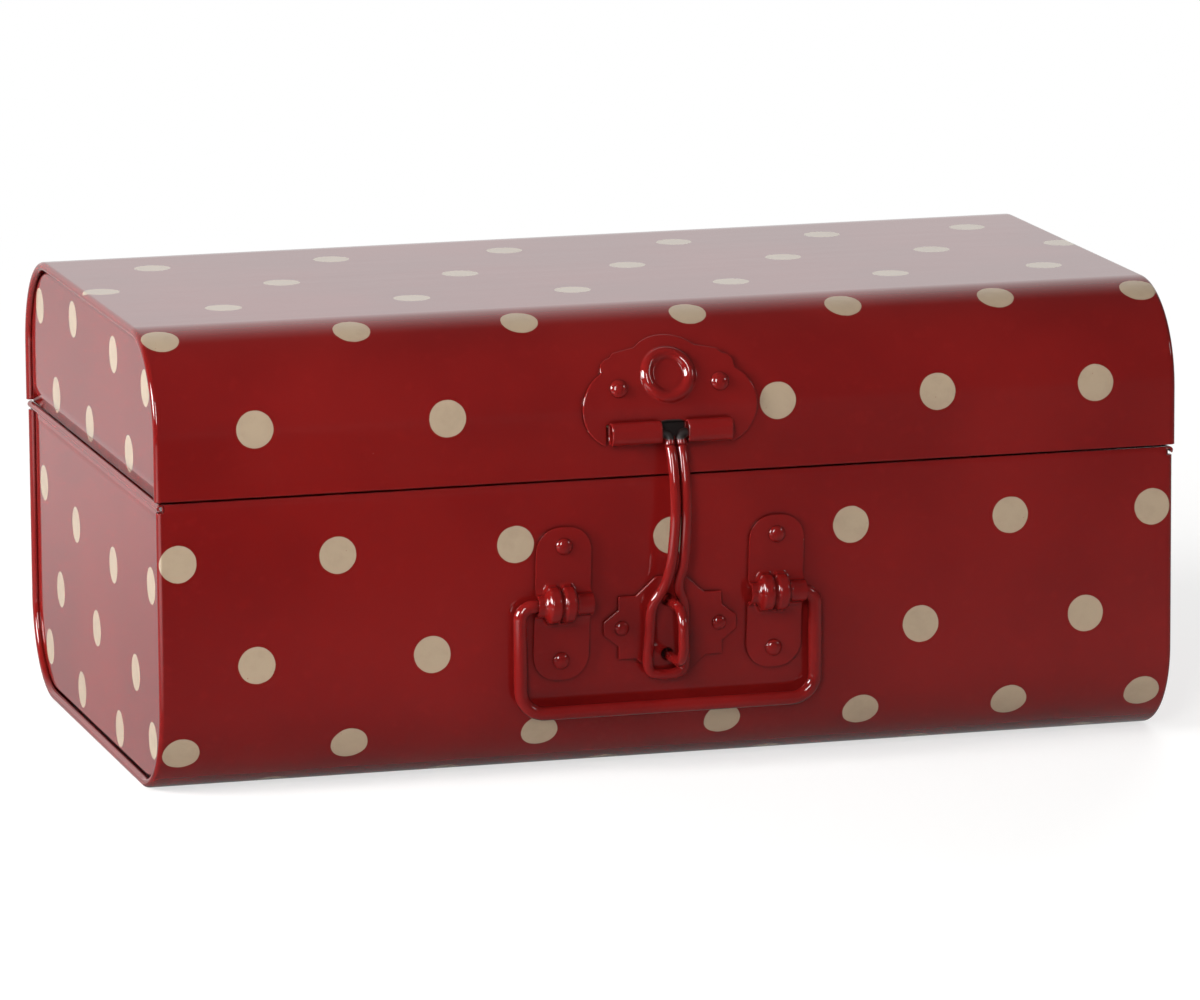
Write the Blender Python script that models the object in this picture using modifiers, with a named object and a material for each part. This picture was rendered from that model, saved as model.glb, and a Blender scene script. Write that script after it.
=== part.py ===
"""A storage suitcase of painted sheet steel: a box-shaped lower half, a lid on two hinges at the back,
a wire hasp that swings over a staple on the front, and a wire bail handle in two riveted brackets.

The front faces -Y, the length runs along X, and the origin is the centre of the underside. Metres."""

from math import acos, asin, ceil, cos, pi, radians, sin, sqrt

import bmesh
import bpy
from mathutils import Matrix, Vector

# Case and lid
CASE_LENGTH = 0.290
CASE_DEPTH = 0.170
CASE_HEIGHT = 0.0832
CASE_CORNER = 0.0265
LID_HEIGHT = 0.0437
LID_CORNER = 0.0275
LID_OVERHANG = 0.0006
SEAM_GAP = 0.0006
SHEET = 0.0006
CLEARANCE = 0.0003
OVERRUN = 0.004
CORNER_STEPS = 9

# Rolled rims of the wrapped sheets, and the end panels held inside them
RIM_RADIUS = 0.00135
RIM_TURN = radians(240)
RIM_STEPS = 8
PANEL_INSET = 0.0015
HEM_BEND = 0.00045
HEM_TURN = radians(225)
HEM_STEPS = 7

# Rivets
RIVET_SHANK = 0.0012
RIVET_TAIL_HEIGHT = 0.0007
RIVET_TAIL_RADIUS = 0.0017
RIVET_DOME_SHARE = 0.55
RIVET_SIDES = 14
DOME_STEPS = 4

# Hasp plate on the lid: the barrels' height is from the lid's lower edge, and each rise is from the barrels
CLASP_CENTRE = -0.00105
PLATE = 0.0008
BARREL_ABOVE_SEAM = 0.0116
BARREL_RADIUS = 0.0026
BARREL_RISE = 0.0013
BARREL_HALF_LENGTH = 0.0172
BARREL_SHIFT = -0.0005
BARREL_SHEAR_GAP = 0.0005
BARREL_SHEAR_TOP = 0.0029
BARREL_CLOSING_TURN = radians(122)
BARREL_STEPS = 12
BARREL_CLOSING_STEPS = 8
SLOT_CENTRE = 0.0003
SLOT_HALF_WIDTH = 0.0037
EAR_RADIUS = 0.0111
EAR_CENTRE_X = 0.0138
EAR_CENTRE_RISE = 0.0071
NOTCH_X = 0.0191
SHOULDER_RISE = 0.0211
SHOULDER_RADIUS = 0.0030
CROWN_RISE = 0.0240
CROWN_X = 0.0150
HUMP_RADIUS = 0.0118
RING_RISE = 0.0159
RING_RADIUS = 0.0061
RING_HALF_WIDTH = 0.0013
RING_STAND = 0.0013
HASP_RIVET_X = 0.0144
HASP_RIVET_RISE = 0.0129
HASP_RIVET_OFFSET = 0.0003
HASP_RIVET_HEAD = 0.0026
PLATE_BEND_STEP = 0.0030

# Wire loop of the hasp: a double shank, and an eye that closes round the staple
HASP_WIRE = 0.0030
HASP_END_BELOW_STAPLE = 0.0127
HASP_EYE_LENGTH = 0.0234
HASP_BOW = 0.0058
HASP_EYE_HALF_WIDTH = 0.0053
HASP_EYE_SHIFT = -0.0025
HASP_AXLE_LENGTH = 0.0100
STRAND_GAP = 0.0004
# Each row holds shares of the shank, the eye's length, the bow, the spread and the sideways shift.
LOOP_SHARES = (
    (0.000, 0.000, 0.00, 0.00, 0.00),
    (0.062, 0.000, 0.20, 0.02, -0.06),
    (0.154, 0.000, 0.54, 0.00, -0.12),
    (0.308, 0.000, 0.86, 0.00, -0.13),
    (0.492, 0.000, 1.00, 0.00, -0.11),
    (0.677, 0.000, 0.97, 0.02, 0.06),
    (0.815, 0.000, 0.86, 0.06, 0.24),
    (0.923, 0.000, 0.62, 0.06, 0.60),
    (1.000, 0.000, 0.42, 0.30, 0.76),
    (1.000, 0.143, 0.24, 0.74, 0.86),
    (1.000, 0.314, 0.13, 0.87, 0.92),
    (1.000, 0.600, 0.05, 0.93, 0.97),
    (1.000, 0.829, 0.01, 1.00, 1.00),
    (1.000, 0.957, 0.00, 0.80, 1.00),
    (1.000, 1.000, 0.00, 0.40, 1.00),
)

# Staple and its plate on the front of the case
STAPLE_WIRE = 0.0029
STAPLE_X = -0.0022
STAPLE_CENTRE_HEIGHT = 0.0412
STAPLE_LEG_SPACING = 0.0154
STAPLE_REACH = 0.0172
STAPLE_BEND = 0.0056
STAPLE_TAIL = 0.0014
STAPLE_PLATE_X = -0.0013
STAPLE_PLATE_RISE = 0.0003
STAPLE_PLATE_HALF_WIDTH = 0.0190
STAPLE_PLATE_HALF_HEIGHT = 0.0139
# Corners of a quarter of the outline, as shares of the half width and the half height.
STAPLE_PLATE_SHARES = ((1.00, 0.14), (0.78, 0.37), (0.78, 0.635), (0.52, 0.635), (0.22, 1.00))
STAPLE_RIVET_X = 0.0139
STAPLE_RIVET_HEAD = 0.0021

# Handle brackets and bail
BRACKET_GAP = 0.00355
BRACKET_CENTRE = -0.0016
BRACKET_WIDTH = 0.0157
BRACKET_HEIGHT = 0.0426
BRACKET_CORNER = 0.0069
BRACKET_LEAN = 0.034
BRACKET_RIVET_OFFSET = 0.0159
BRACKET_RIVET_HEAD = 0.0024
HANDLE_ABOVE_STAPLE = 0.0082
HANDLE_AXIS_STAND = 0.0030
BULGE_RADIUS = 0.0052
BULGE_SHIFT = -0.0012
BULGE_HALF_WIDTH = 0.0049
BULGE_EDGE = 0.0018
GROOVE_HALF_WIDTH = 0.0010
GROOVE_DEPTH_SHARE = 0.45
KNUCKLE_ROWS = 10
TAB_STEPS = 5
TAB_MARGIN = 0.0012
BAIL_WIRE = 0.0039
BAIL_OVERHANG = 0.0077
BAIL_BELOW_HASP = 0.0091
BAIL_SHIFT = -0.0009
BAIL_TOP_BEND = 0.0042
BAIL_LOWER_BEND = 0.0068
BAIL_END_RECESS = 0.0008

# Hinges at the back
HINGE_SPACING = 0.150
HINGE_WIDTH = 0.030
HINGE_LEAF_HEIGHT = 0.015
HINGE_CORNER = 0.0035
HINGE_PIN = 0.0022
HINGE_KNUCKLE_GAP = 0.0005
HINGE_KNUCKLE_SHARE = 1 / 3
KNUCKLE_TURN = radians(335)
KNUCKLE_STEPS = 16
HINGE_RIVET_SPACING = 0.018
HINGE_RIVET_HEIGHT = 0.0090
HINGE_RIVET_HEAD = 0.0020
HINGE_RIVET_DOME_SHARE = 0.40
PIN_HEAD = 0.0006

# Smoothness of round forms
WIRE_SIDES_RESOLUTION = 2
WIRE_STEPS = 2
BEND_STEPS = 6
BULGE_STEPS = 4
CIRCLE_STEPS = 16
SHARP_ANGLE = radians(40)
FLAT_ANGLE = radians(0.1)
SQUARE_SHARE = 0.99
LARGE_FACE_SHARE = 0.5
WELD = 0.000002

# Enamel: red, as shares of full light
ENAMEL_RED = (0.19, 0.008, 0.009, 1.0)
ENAMEL_ROUGHNESS = 0.16

# Sizes worked out from those above
KNUCKLE_RADIUS = BAIL_WIRE / 2 + CLEARANCE + PLATE
SEAM_HEIGHT = CASE_HEIGHT + SEAM_GAP / 2
LID_LOWER_EDGE = CASE_HEIGHT + SEAM_GAP
TOTAL_HEIGHT = LID_LOWER_EDGE + LID_HEIGHT
LID_LENGTH = CASE_LENGTH + 2 * LID_OVERHANG
LID_FLAT_TOP = TOTAL_HEIGHT - LID_CORNER
CASE_FRONT = -CASE_DEPTH / 2
CASE_BACK = CASE_DEPTH / 2
LID_FRONT = CASE_FRONT - LID_OVERHANG
PLATE_STAND = CLEARANCE + PLATE
BARREL_STAND = CLEARANCE + BARREL_RADIUS
HINGE_RADIUS = HINGE_PIN / 2 + CLEARANCE + PLATE
HINGE_AXIS_Y = CASE_BACK + CLEARANCE + HINGE_RADIUS
HEM_HEIGHT = 2 * (HEM_BEND + SHEET)
BARREL_BLANK = BARREL_RADIUS * (pi + BARREL_CLOSING_TURN) + BARREL_RISE
HASP_BARREL_HEIGHT = LID_LOWER_EDGE + BARREL_ABOVE_SEAM
HASP_END_HEIGHT = STAPLE_CENTRE_HEIGHT - HASP_END_BELOW_STAPLE
HASP_SHANK = HASP_BARREL_HEIGHT - HASP_END_HEIGHT - HASP_EYE_LENGTH
STAPLE_PLATE_HEIGHT = STAPLE_CENTRE_HEIGHT + STAPLE_PLATE_RISE
BRACKET_SPACING = 2 * (STAPLE_PLATE_HALF_WIDTH + BRACKET_GAP) + BRACKET_WIDTH
HANDLE_AXIS_HEIGHT = STAPLE_CENTRE_HEIGHT + HANDLE_ABOVE_STAPLE
BAIL_WIDTH = BRACKET_SPACING + BRACKET_WIDTH + BAIL_OVERHANG
BAIL_DROP = HANDLE_AXIS_HEIGHT - HASP_END_HEIGHT + BAIL_BELOW_HASP
HASP_AXIS = Vector((CLASP_CENTRE + SLOT_CENTRE, LID_FRONT - BARREL_STAND, HASP_BARREL_HEIGHT))
HANDLE_AXIS = Vector((BRACKET_CENTRE, CASE_FRONT - HANDLE_AXIS_STAND, HANDLE_AXIS_HEIGHT))
LID_AXIS = Vector((0, HINGE_AXIS_Y, SEAM_HEIGHT))

# Frames for flat blanks: the columns are the blank's own X, Y and front in the world
ON_FRONT = Matrix(((1, 0, 0), (0, 0, -1), (0, 1, 0))).to_4x4()
ON_BACK = Matrix(((-1, 0, 0), (0, 0, 1), (0, 1, 0))).to_4x4()


# Scene and collections


def clear_scene():
    for old in list(bpy.data.objects):
        bpy.data.objects.remove(old)


def new_collection(name):
    made = bpy.data.collections.new(name)
    bpy.context.scene.collection.children.link(made)
    return made


clear_scene()
PARTS = new_collection("storage_suitcase")
CUTTERS = new_collection("cutters")


# Making objects


def enamel(name):
    """Red enamel of one piece."""
    made = bpy.data.materials.new(name + "_enamel")
    made.use_nodes = True
    shader = made.node_tree.nodes["Principled BSDF"]
    shader.inputs["Base Color"].default_value = ENAMEL_RED
    shader.inputs["Roughness"].default_value = ENAMEL_ROUGHNESS
    shader.inputs["Metallic"].default_value = 0.0
    return made


def add_part(name, mesh):
    """A finished or growing piece of the suitcase."""
    made = bpy.data.objects.new(name, mesh)
    PARTS.objects.link(made)
    mesh.name = name
    mesh.materials.clear()
    mesh.materials.append(enamel(name))
    return made


def add_cutter(name, bm):
    """A hidden helper that a Boolean cuts with."""
    mesh = bpy.data.meshes.new(name)
    bmesh.ops.recalc_face_normals(bm, faces=bm.faces)
    bm.to_mesh(mesh)
    bm.free()
    made = bpy.data.objects.new(name, mesh)
    CUTTERS.objects.link(made)
    made.hide_render = True
    made.display_type = "WIRE"
    return made


def smooth(mesh):
    mesh.shade_smooth()
    mesh.set_sharp_from_angle(angle=SHARP_ANGLE)


def evaluated_mesh(obj):
    bpy.context.view_layer.update()
    return bpy.data.meshes.new_from_object(obj.evaluated_get(bpy.context.evaluated_depsgraph_get()))


def settle(obj):
    """Works the object's modifiers into its mesh."""
    mesh = evaluated_mesh(obj)
    obj.modifiers.clear()
    old = obj.data
    obj.data = mesh
    if old.users == 0:
        bpy.data.meshes.remove(old)


def boolean(obj, other, operation):
    step = obj.modifiers.new(operation.lower(), "BOOLEAN")
    step.operation = operation
    step.object = other


def unite(obj, others):
    """Joins others to the object as one solid."""
    for other in others:
        boolean(obj, other, "UNION")
    settle(obj)
    for other in others:
        bpy.data.objects.remove(other)


def give_thickness(obj, thickness):
    """Sheet metal from an open surface, growing away from the side its faces point to."""
    step = obj.modifiers.new("thickness", "SOLIDIFY")
    step.thickness = thickness
    step.offset = -1
    step.use_even_offset = True


def set_origin(obj, point):
    obj.data.transform(Matrix.Translation(-point))
    obj.location = point


# Outlines and paths


def arc(centre, radius, start, end, steps):
    """Points of an arc, both ends included."""
    made = []
    for i in range(steps + 1):
        angle = start + (end - start) * i / steps
        made.append((centre[0] + radius * cos(angle), centre[1] + radius * sin(angle)))
    return made


def circle(centre, radius, steps=CIRCLE_STEPS):
    return arc(centre, radius, 0, 2 * pi, steps)[:-1]


def mirrored(points):
    """An outline closed by its own mirror image in the first coordinate."""
    return points + [(-x, y) for x, y in reversed(points) if x != 0]


def rounded_path(points, radii, steps=BEND_STEPS):
    """A path through 3D points whose inner corners are rounded to the given radii."""
    path = [points[0]]
    for before, corner, after, radius in zip(points, points[1:], points[2:], radii):
        back = (before - corner).normalized()
        ahead = (after - corner).normalized()
        half = back.angle(ahead) / 2
        reach = radius / (sin(half) / cos(half))
        centre = corner + (back + ahead).normalized() * (radius / sin(half))
        start = corner + back * reach - centre
        axis = start.cross(corner + ahead * reach - centre).normalized()
        turn = pi - 2 * half
        for i in range(steps + 1):
            path.append(centre + Matrix.Rotation(turn * i / steps, 3, axis) @ start)
    path.append(points[-1])
    return path


def smooth_path(points, steps):
    """A Catmull-Rom curve through 3D points."""
    ends = [2 * points[0] - points[1]] + points + [2 * points[-1] - points[-2]]
    path = []
    for a, b, c, d in zip(ends, ends[1:], ends[2:], ends[3:]):
        for i in range(steps):
            t = i / steps
            bow = 2 * a - 5 * b + 4 * c - d
            twist = 3 * b - a - 3 * c + d
            path.append(b + ((c - a) * t + bow * t**2 + twist * t**3) / 2)
    path.append(points[-1])
    return path


# Blanks, wires and turned pieces


def blank(name, outlines, thickness):
    """A flat blank on the XY plane: the first outline filled, the others holes, growing towards +Z."""
    curve = bpy.data.curves.new(name, "CURVE")
    curve.dimensions = "2D"
    curve.fill_mode = "BOTH"
    curve.extrude = thickness / 2
    for outline in outlines:
        spline = curve.splines.new("POLY")
        spline.points.add(len(outline) - 1)
        spline.use_cyclic_u = True
        for point, (x, y) in zip(spline.points, outline):
            point.co = (x, y, 0, 1)
    guide = bpy.data.objects.new(name + "_guide", curve)
    CUTTERS.objects.link(guide)
    mesh = evaluated_mesh(guide)
    bpy.data.objects.remove(guide)
    mesh.transform(Matrix.Translation((0, 0, thickness / 2)))
    bm = bmesh.new()
    bm.from_mesh(mesh)
    bmesh.ops.remove_doubles(bm, verts=bm.verts, dist=WELD)
    bmesh.ops.recalc_face_normals(bm, faces=bm.faces)
    bm.to_mesh(mesh)
    bm.free()
    return add_part(name, mesh)


def bend(mesh, start, centre, arc_radius, turn, steps, reach=CASE_LENGTH):
    """A flat sheet bent round a line across it, and straight again beyond the turn.

    The sheet lies on the XY plane and the line at y = start. The centre is the bend's distance above the
    sheet's back face: above it the part below the line rolls up, and below it (a negative centre) the part
    above the line bends down. Lengths along the sheet are kept at the arc radius. The reach is how far
    from the middle the bent part extends."""
    bm = bmesh.new()
    bm.from_mesh(mesh)
    way = -1 if centre > 0 else 1
    for i in range(steps + 1):
        level = start + way * arc_radius * turn * i / steps
        geom = list(bm.verts) + list(bm.edges) + list(bm.faces)
        bmesh.ops.bisect_plane(bm, geom=geom, dist=WELD, plane_co=(0, level, 0), plane_no=(0, 1, 0))
    for vert in bm.verts:
        past = way * (vert.co.y - start)
        if past <= 0 or abs(vert.co.x) > reach + WELD:
            continue
        angle = min(past / arc_radius, turn)
        straight = past - angle * arc_radius
        offset = way * (vert.co.z - centre)
        vert.co.y = start + way * (offset * sin(angle) + straight * cos(angle))
        vert.co.z = centre + way * (offset * cos(angle) - straight * sin(angle))
    bmesh.ops.dissolve_limit(bm, angle_limit=FLAT_ANGLE, verts=bm.verts, edges=bm.edges)
    bmesh.ops.triangulate(bm, faces=bm.faces)
    bm.to_mesh(mesh)
    bm.free()


def wire(name, path, diameter):
    """A bent wire: a round bar along the path."""
    curve = bpy.data.curves.new(name, "CURVE")
    curve.dimensions = "3D"
    curve.bevel_depth = diameter / 2
    curve.bevel_resolution = WIRE_SIDES_RESOLUTION
    curve.use_fill_caps = True
    spline = curve.splines.new("POLY")
    spline.points.add(len(path) - 1)
    for point, co in zip(spline.points, path):
        point.co = (*co, 1)
    guide = bpy.data.objects.new(name + "_guide", curve)
    CUTTERS.objects.link(guide)
    mesh = evaluated_mesh(guide)
    bpy.data.objects.remove(guide)
    bm = bmesh.new()
    bm.from_mesh(mesh)
    bmesh.ops.remove_doubles(bm, verts=bm.verts, dist=WELD)
    bmesh.ops.recalc_face_normals(bm, faces=bm.faces)
    bm.to_mesh(mesh)
    bm.free()
    smooth(mesh)
    return add_part(name, mesh)


def turned(name, profile, sides):
    """A solid of revolution about its own Z, from a profile that runs from the top to the bottom."""
    mesh = bpy.data.meshes.new(name)
    edges = [(i, i + 1) for i in range(len(profile) - 1)]
    mesh.from_pydata([(r, 0, h) for r, h in profile], edges, [])
    made = add_part(name, mesh)
    step = made.modifiers.new("turn", "SCREW")
    step.steps = sides
    step.render_steps = sides
    step.use_merge_vertices = True
    step.merge_threshold = WELD
    settle(made)
    smooth(made.data)
    return made


def facing(direction):
    """The turn that takes +Z to a direction."""
    return Vector((0, 0, 1)).rotation_difference(direction).to_matrix().to_4x4()


def rivet(name, wall_point, outward, head, dome_share=RIVET_DOME_SHARE):
    """A domed rivet through a wall and the plate on it, clenched inside."""
    seat = PLATE_STAND + CLEARANCE
    inside = -SHEET - CLEARANCE
    dome = [(y, seat + x * dome_share) for x, y in arc((0, 0), head, 0, pi / 2, DOME_STEPS)]
    shank = [(RIVET_SHANK, seat), (RIVET_SHANK, inside)]
    tail = [
        (RIVET_TAIL_RADIUS, inside),
        (RIVET_TAIL_RADIUS, inside - RIVET_TAIL_HEIGHT / 2),
        (RIVET_SHANK, inside - RIVET_TAIL_HEIGHT),
        (0, inside - RIVET_TAIL_HEIGHT),
    ]
    made = turned(name, dome + shank + tail, RIVET_SIDES)
    made.data.transform(facing(outward))
    made.location = wall_point
    return made


def hole_cutter(name, holes):
    """Round holes as one cutter. Each hole is a point on a wall, the outward direction and a radius."""
    bm = bmesh.new()
    for point, outward, radius in holes:
        bmesh.ops.create_cone(
            bm,
            cap_ends=True,
            segments=RIVET_SIDES,
            radius1=radius,
            radius2=radius,
            depth=2 * OVERRUN,
            matrix=Matrix.Translation(point) @ facing(outward),
        )
    return add_cutter(name, bm)


def box_cutter(name, low, high):
    bm = bmesh.new()
    size = Vector(high) - Vector(low)
    middle = (Vector(high) + Vector(low)) / 2
    bmesh.ops.create_cube(bm, size=1, matrix=Matrix.Translation(middle) @ Matrix.Diagonal((*size, 1)))
    return add_cutter(name, bm)


# Sheet wrapped round the depth of the box


def extrude_run(bm, edges, move):
    """The edges drawn out in a straight run, and the edges at its far end."""
    made = bmesh.ops.extrude_edge_only(bm, edges=edges)["geom"]
    verts = [g for g in made if isinstance(g, bmesh.types.BMVert)]
    bmesh.ops.translate(bm, verts=verts, vec=move)
    far = set(verts)
    return [g for g in made if isinstance(g, bmesh.types.BMEdge) and set(g.verts) <= far]


def extrude_turn(bm, edges, centre, axis, angle, steps):
    """The edges drawn round an axis, and the edges at the far end."""
    geom = list(edges) + list({v for e in edges for v in e.verts})
    last = bmesh.ops.spin(bm, geom=geom, cent=centre, axis=axis, angle=angle, steps=steps)["geom_last"]
    return [g for g in last if isinstance(g, bmesh.types.BMEdge)]


def wrapped_surface(section, front, back, edge_height, far_height, corner):
    """A section of (x, distance in from the outside) drawn from the front edge round to the back edge.

    The far height is the underside of the case, or the top of the lid."""
    bm = bmesh.new()
    verts = [bm.verts.new((x, front + inset, edge_height)) for x, inset in section]
    edges = [bm.edges.new(pair) for pair in zip(verts, verts[1:])]
    side = 1 if far_height > edge_height else -1
    straight = far_height - side * corner - edge_height
    height = far_height - side * corner
    along_x = Vector((1, 0, 0))
    edges = extrude_run(bm, edges, (0, 0, straight))
    edges = extrude_turn(bm, edges, (0, front + corner, height), along_x, -side * pi / 2, CORNER_STEPS)
    edges = extrude_run(bm, edges, (0, back - front - 2 * corner, 0))
    edges = extrude_turn(bm, edges, (0, back - corner, height), along_x, -side * pi / 2, CORNER_STEPS)
    extrude_run(bm, edges, (0, 0, -straight))
    return bm


def face_out(bm, test_face):
    """All faces turned together, so that the chosen face points away from the middle of the box."""
    bmesh.ops.recalc_face_normals(bm, faces=bm.faces)
    bm.normal_update()
    outward, face = test_face(bm)
    if face.normal.dot(outward) < 0:
        bmesh.ops.reverse_faces(bm, faces=bm.faces)


def largest_face_towards(direction):
    """The largest face square to a direction, for face_out."""

    def choose(bm):
        square = [f for f in bm.faces if abs(f.normal.dot(direction)) > SQUARE_SHARE]
        largest = max(f.calc_area() for f in square)
        large = [f for f in square if f.calc_area() > largest * LARGE_FACE_SHARE]
        return direction, max(large, key=lambda f: f.calc_center_median().dot(direction))

    return choose


def rim_section(half_length):
    """Cross-section of a wrapped sheet along the length, with a rolled rim at each end."""
    middle = half_length - RIM_RADIUS
    turns = [RIM_TURN * i / RIM_STEPS for i in range(RIM_STEPS + 1)]
    right = [(middle + RIM_RADIUS * sin(a), RIM_RADIUS * (1 - cos(a))) for a in turns]
    left = [(-x, inset) for x, inset in reversed(right)]
    return left + right


def wrap_sheet(name, length, front, back, edge_height, far_height, corner):
    """Front, underside or top, and back in one sheet, its ends rolled into rims."""
    bm = wrapped_surface(rim_section(length / 2), front, back, edge_height, far_height, corner)
    face_out(bm, largest_face_towards(Vector((0, -1, 0))))
    mesh = bpy.data.meshes.new(name)
    bm.to_mesh(mesh)
    bm.free()
    made = add_part(name, mesh)
    give_thickness(made, SHEET)
    smooth(mesh)
    return made


def end_panel(name, side, length, front, back, edge_height, far_height, corner, hem):
    """One end of the box: a face set in behind the rim, with a flange trapped by the rolled rim."""
    face_x = length / 2 - PANEL_INSET
    flange_x = length / 2 - 2 * RIM_RADIUS - CLEARANCE
    under_rim = 2 * RIM_RADIUS + CLEARANCE
    under_sheet = SHEET + CLEARANCE
    section = [(face_x, under_rim), (flange_x, under_rim), (flange_x, under_sheet)]
    bm = wrapped_surface(section, front, back, edge_height, far_height, corner)
    bm.verts.ensure_lookup_table()
    rim_edges = [
        e for e in bm.edges if e.is_boundary and all(abs(v.co.x - face_x) < WELD for v in e.verts)
    ]
    at_edge = {v for e in rim_edges for v in e.verts if abs(v.co.z - edge_height) < WELD}
    lip = bm.edges.new(sorted(at_edge, key=lambda v: v.co.y))
    bmesh.ops.edgeloop_fill(bm, edges=rim_edges + [lip])
    if hem:
        roll_hem(bm, lip, face_x, front, back, edge_height)
    face_out(bm, largest_face_towards(Vector((1, 0, 0))))
    if side < 0:
        bmesh.ops.transform(bm, matrix=Matrix.Diagonal((-1, 1, 1, 1)), verts=bm.verts)
        bmesh.ops.reverse_faces(bm, faces=bm.faces)
    mesh = bpy.data.meshes.new(name)
    bm.to_mesh(mesh)
    bm.free()
    made = add_part(name, mesh)
    give_thickness(made, SHEET)
    smooth(mesh)
    return made


def roll_hem(bm, lip, face_x, front, back, edge_height):
    """The free edge of a panel widened to the full depth and rolled outward into a hollow hem."""
    edges = extrude_run(bm, [lip], (0, 0, CLEARANCE))
    for vert in edges[0].verts:
        vert.co.y = front if vert.co.y < 0 else back
    middle = edge_height + HEM_HEIGHT / 2
    edges = extrude_run(bm, edges, (0, 0, middle - edge_height - CLEARANCE))
    centre = (face_x + HEM_BEND, 0, middle)
    extrude_turn(bm, edges, centre, Vector((0, 1, 0)), HEM_TURN, HEM_STEPS)


# Places of the fasteners


def on_lid_front(x, length_up):
    """Point and outward direction on the lid's front, measured up along the sheet from the underside."""
    if length_up <= LID_FLAT_TOP:
        return Vector((x, LID_FRONT, length_up)), Vector((0, -1, 0))
    angle = (length_up - LID_FLAT_TOP) / LID_CORNER
    outward = Vector((0, -cos(angle), sin(angle)))
    return Vector((x, LID_FRONT + LID_CORNER, LID_FLAT_TOP)) + outward * LID_CORNER, outward


OUT_FRONT = Vector((0, -1, 0))
OUT_BACK = Vector((0, 1, 0))
SIDES = (("left", -1), ("right", 1))
HASP_RIVET_PLACES = [(word, side, HASP_RIVET_RISE + side * HASP_RIVET_OFFSET) for word, side in SIDES]
HASP_RIVETS = [
    ("hasp_plate_rivet_" + word, *on_lid_front(CLASP_CENTRE + side * HASP_RIVET_X, HASP_BARREL_HEIGHT + rise))
    for word, side, rise in HASP_RIVET_PLACES
]
STAPLE_RIVETS = [
    (
        "staple_plate_rivet_" + word,
        Vector((STAPLE_PLATE_X + side * STAPLE_RIVET_X, CASE_FRONT, STAPLE_PLATE_HEIGHT)),
        OUT_FRONT,
    )
    for word, side in SIDES
]
BRACKET_RIVETS = [
    (
        word + "_bracket_rivet_" + level,
        Vector(
            (
                BRACKET_CENTRE + side * BRACKET_SPACING / 2 + up * BRACKET_RIVET_OFFSET * BRACKET_LEAN,
                CASE_FRONT,
                HANDLE_AXIS_HEIGHT + up * BRACKET_RIVET_OFFSET,
            )
        ),
        OUT_FRONT,
    )
    for word, side in SIDES
    for level, up in (("upper", 1), ("lower", -1))
]


def hinge_rivets(leaf, up):
    """Places of the rivets of both hinges' case leaves, or of their lid leaves."""
    return [
        (
            word + "_hinge_" + leaf + "_rivet_" + end,
            Vector(
                (
                    side * HINGE_SPACING / 2 + step * HINGE_RIVET_SPACING / 2,
                    CASE_BACK,
                    SEAM_HEIGHT + up * HINGE_RIVET_HEIGHT,
                )
            ),
            OUT_BACK,
        )
        for word, side in SIDES
        for end, step in SIDES
    ]


CASE_HINGE_RIVETS = hinge_rivets("case", -1)
LID_HINGE_RIVETS = hinge_rivets("lid", 1)
STAPLE_LEGS = [
    Vector((STAPLE_X, CASE_FRONT, STAPLE_CENTRE_HEIGHT + up * STAPLE_LEG_SPACING / 2)) for up in (1, -1)
]
RIVET_HOLE = RIVET_SHANK + CLEARANCE
STAPLE_HOLE = STAPLE_WIRE / 2 + CLEARANCE


# Lower half


def make_case():
    wrap = wrap_sheet("case_wrap", CASE_LENGTH, CASE_FRONT, CASE_BACK, CASE_HEIGHT, 0, CASE_CORNER)
    holes = [(p, d, RIVET_HOLE) for _, p, d in STAPLE_RIVETS + BRACKET_RIVETS + CASE_HINGE_RIVETS]
    holes += [(p, OUT_FRONT, STAPLE_HOLE) for p in STAPLE_LEGS]
    boolean(wrap, hole_cutter("case_holes", holes), "DIFFERENCE")
    notch_start = CASE_LENGTH / 2 - 2 * RIM_RADIUS - CLEARANCE
    for word, side in SIDES:
        low = (min(side * notch_start, side * CASE_LENGTH), -CASE_DEPTH, CASE_HEIGHT - HEM_HEIGHT - CLEARANCE)
        high = (max(side * notch_start, side * CASE_LENGTH), CASE_DEPTH, CASE_HEIGHT + OVERRUN)
        boolean(wrap, box_cutter(word + "_hem_notch", low, high), "DIFFERENCE")
    for word, side in SIDES:
        end_panel(
            "case_" + word + "_end",
            side,
            CASE_LENGTH,
            CASE_FRONT,
            CASE_BACK,
            CASE_HEIGHT - HEM_HEIGHT,
            0,
            CASE_CORNER,
            hem=True,
        )


# Lid


def make_lid():
    wrap = wrap_sheet("lid_wrap", LID_LENGTH, LID_FRONT, CASE_BACK, LID_LOWER_EDGE, TOTAL_HEIGHT, LID_CORNER)
    holes = [(p, d, RIVET_HOLE) for _, p, d in HASP_RIVETS + LID_HINGE_RIVETS]
    boolean(wrap, hole_cutter("lid_holes", holes), "DIFFERENCE")
    made = [wrap]
    for word, side in SIDES:
        made.append(
            end_panel(
                "lid_" + word + "_end",
                side,
                LID_LENGTH,
                LID_FRONT,
                CASE_BACK,
                LID_LOWER_EDGE,
                TOTAL_HEIGHT,
                LID_CORNER,
                hem=False,
            )
        )
    return made


# Hasp plate


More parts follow.
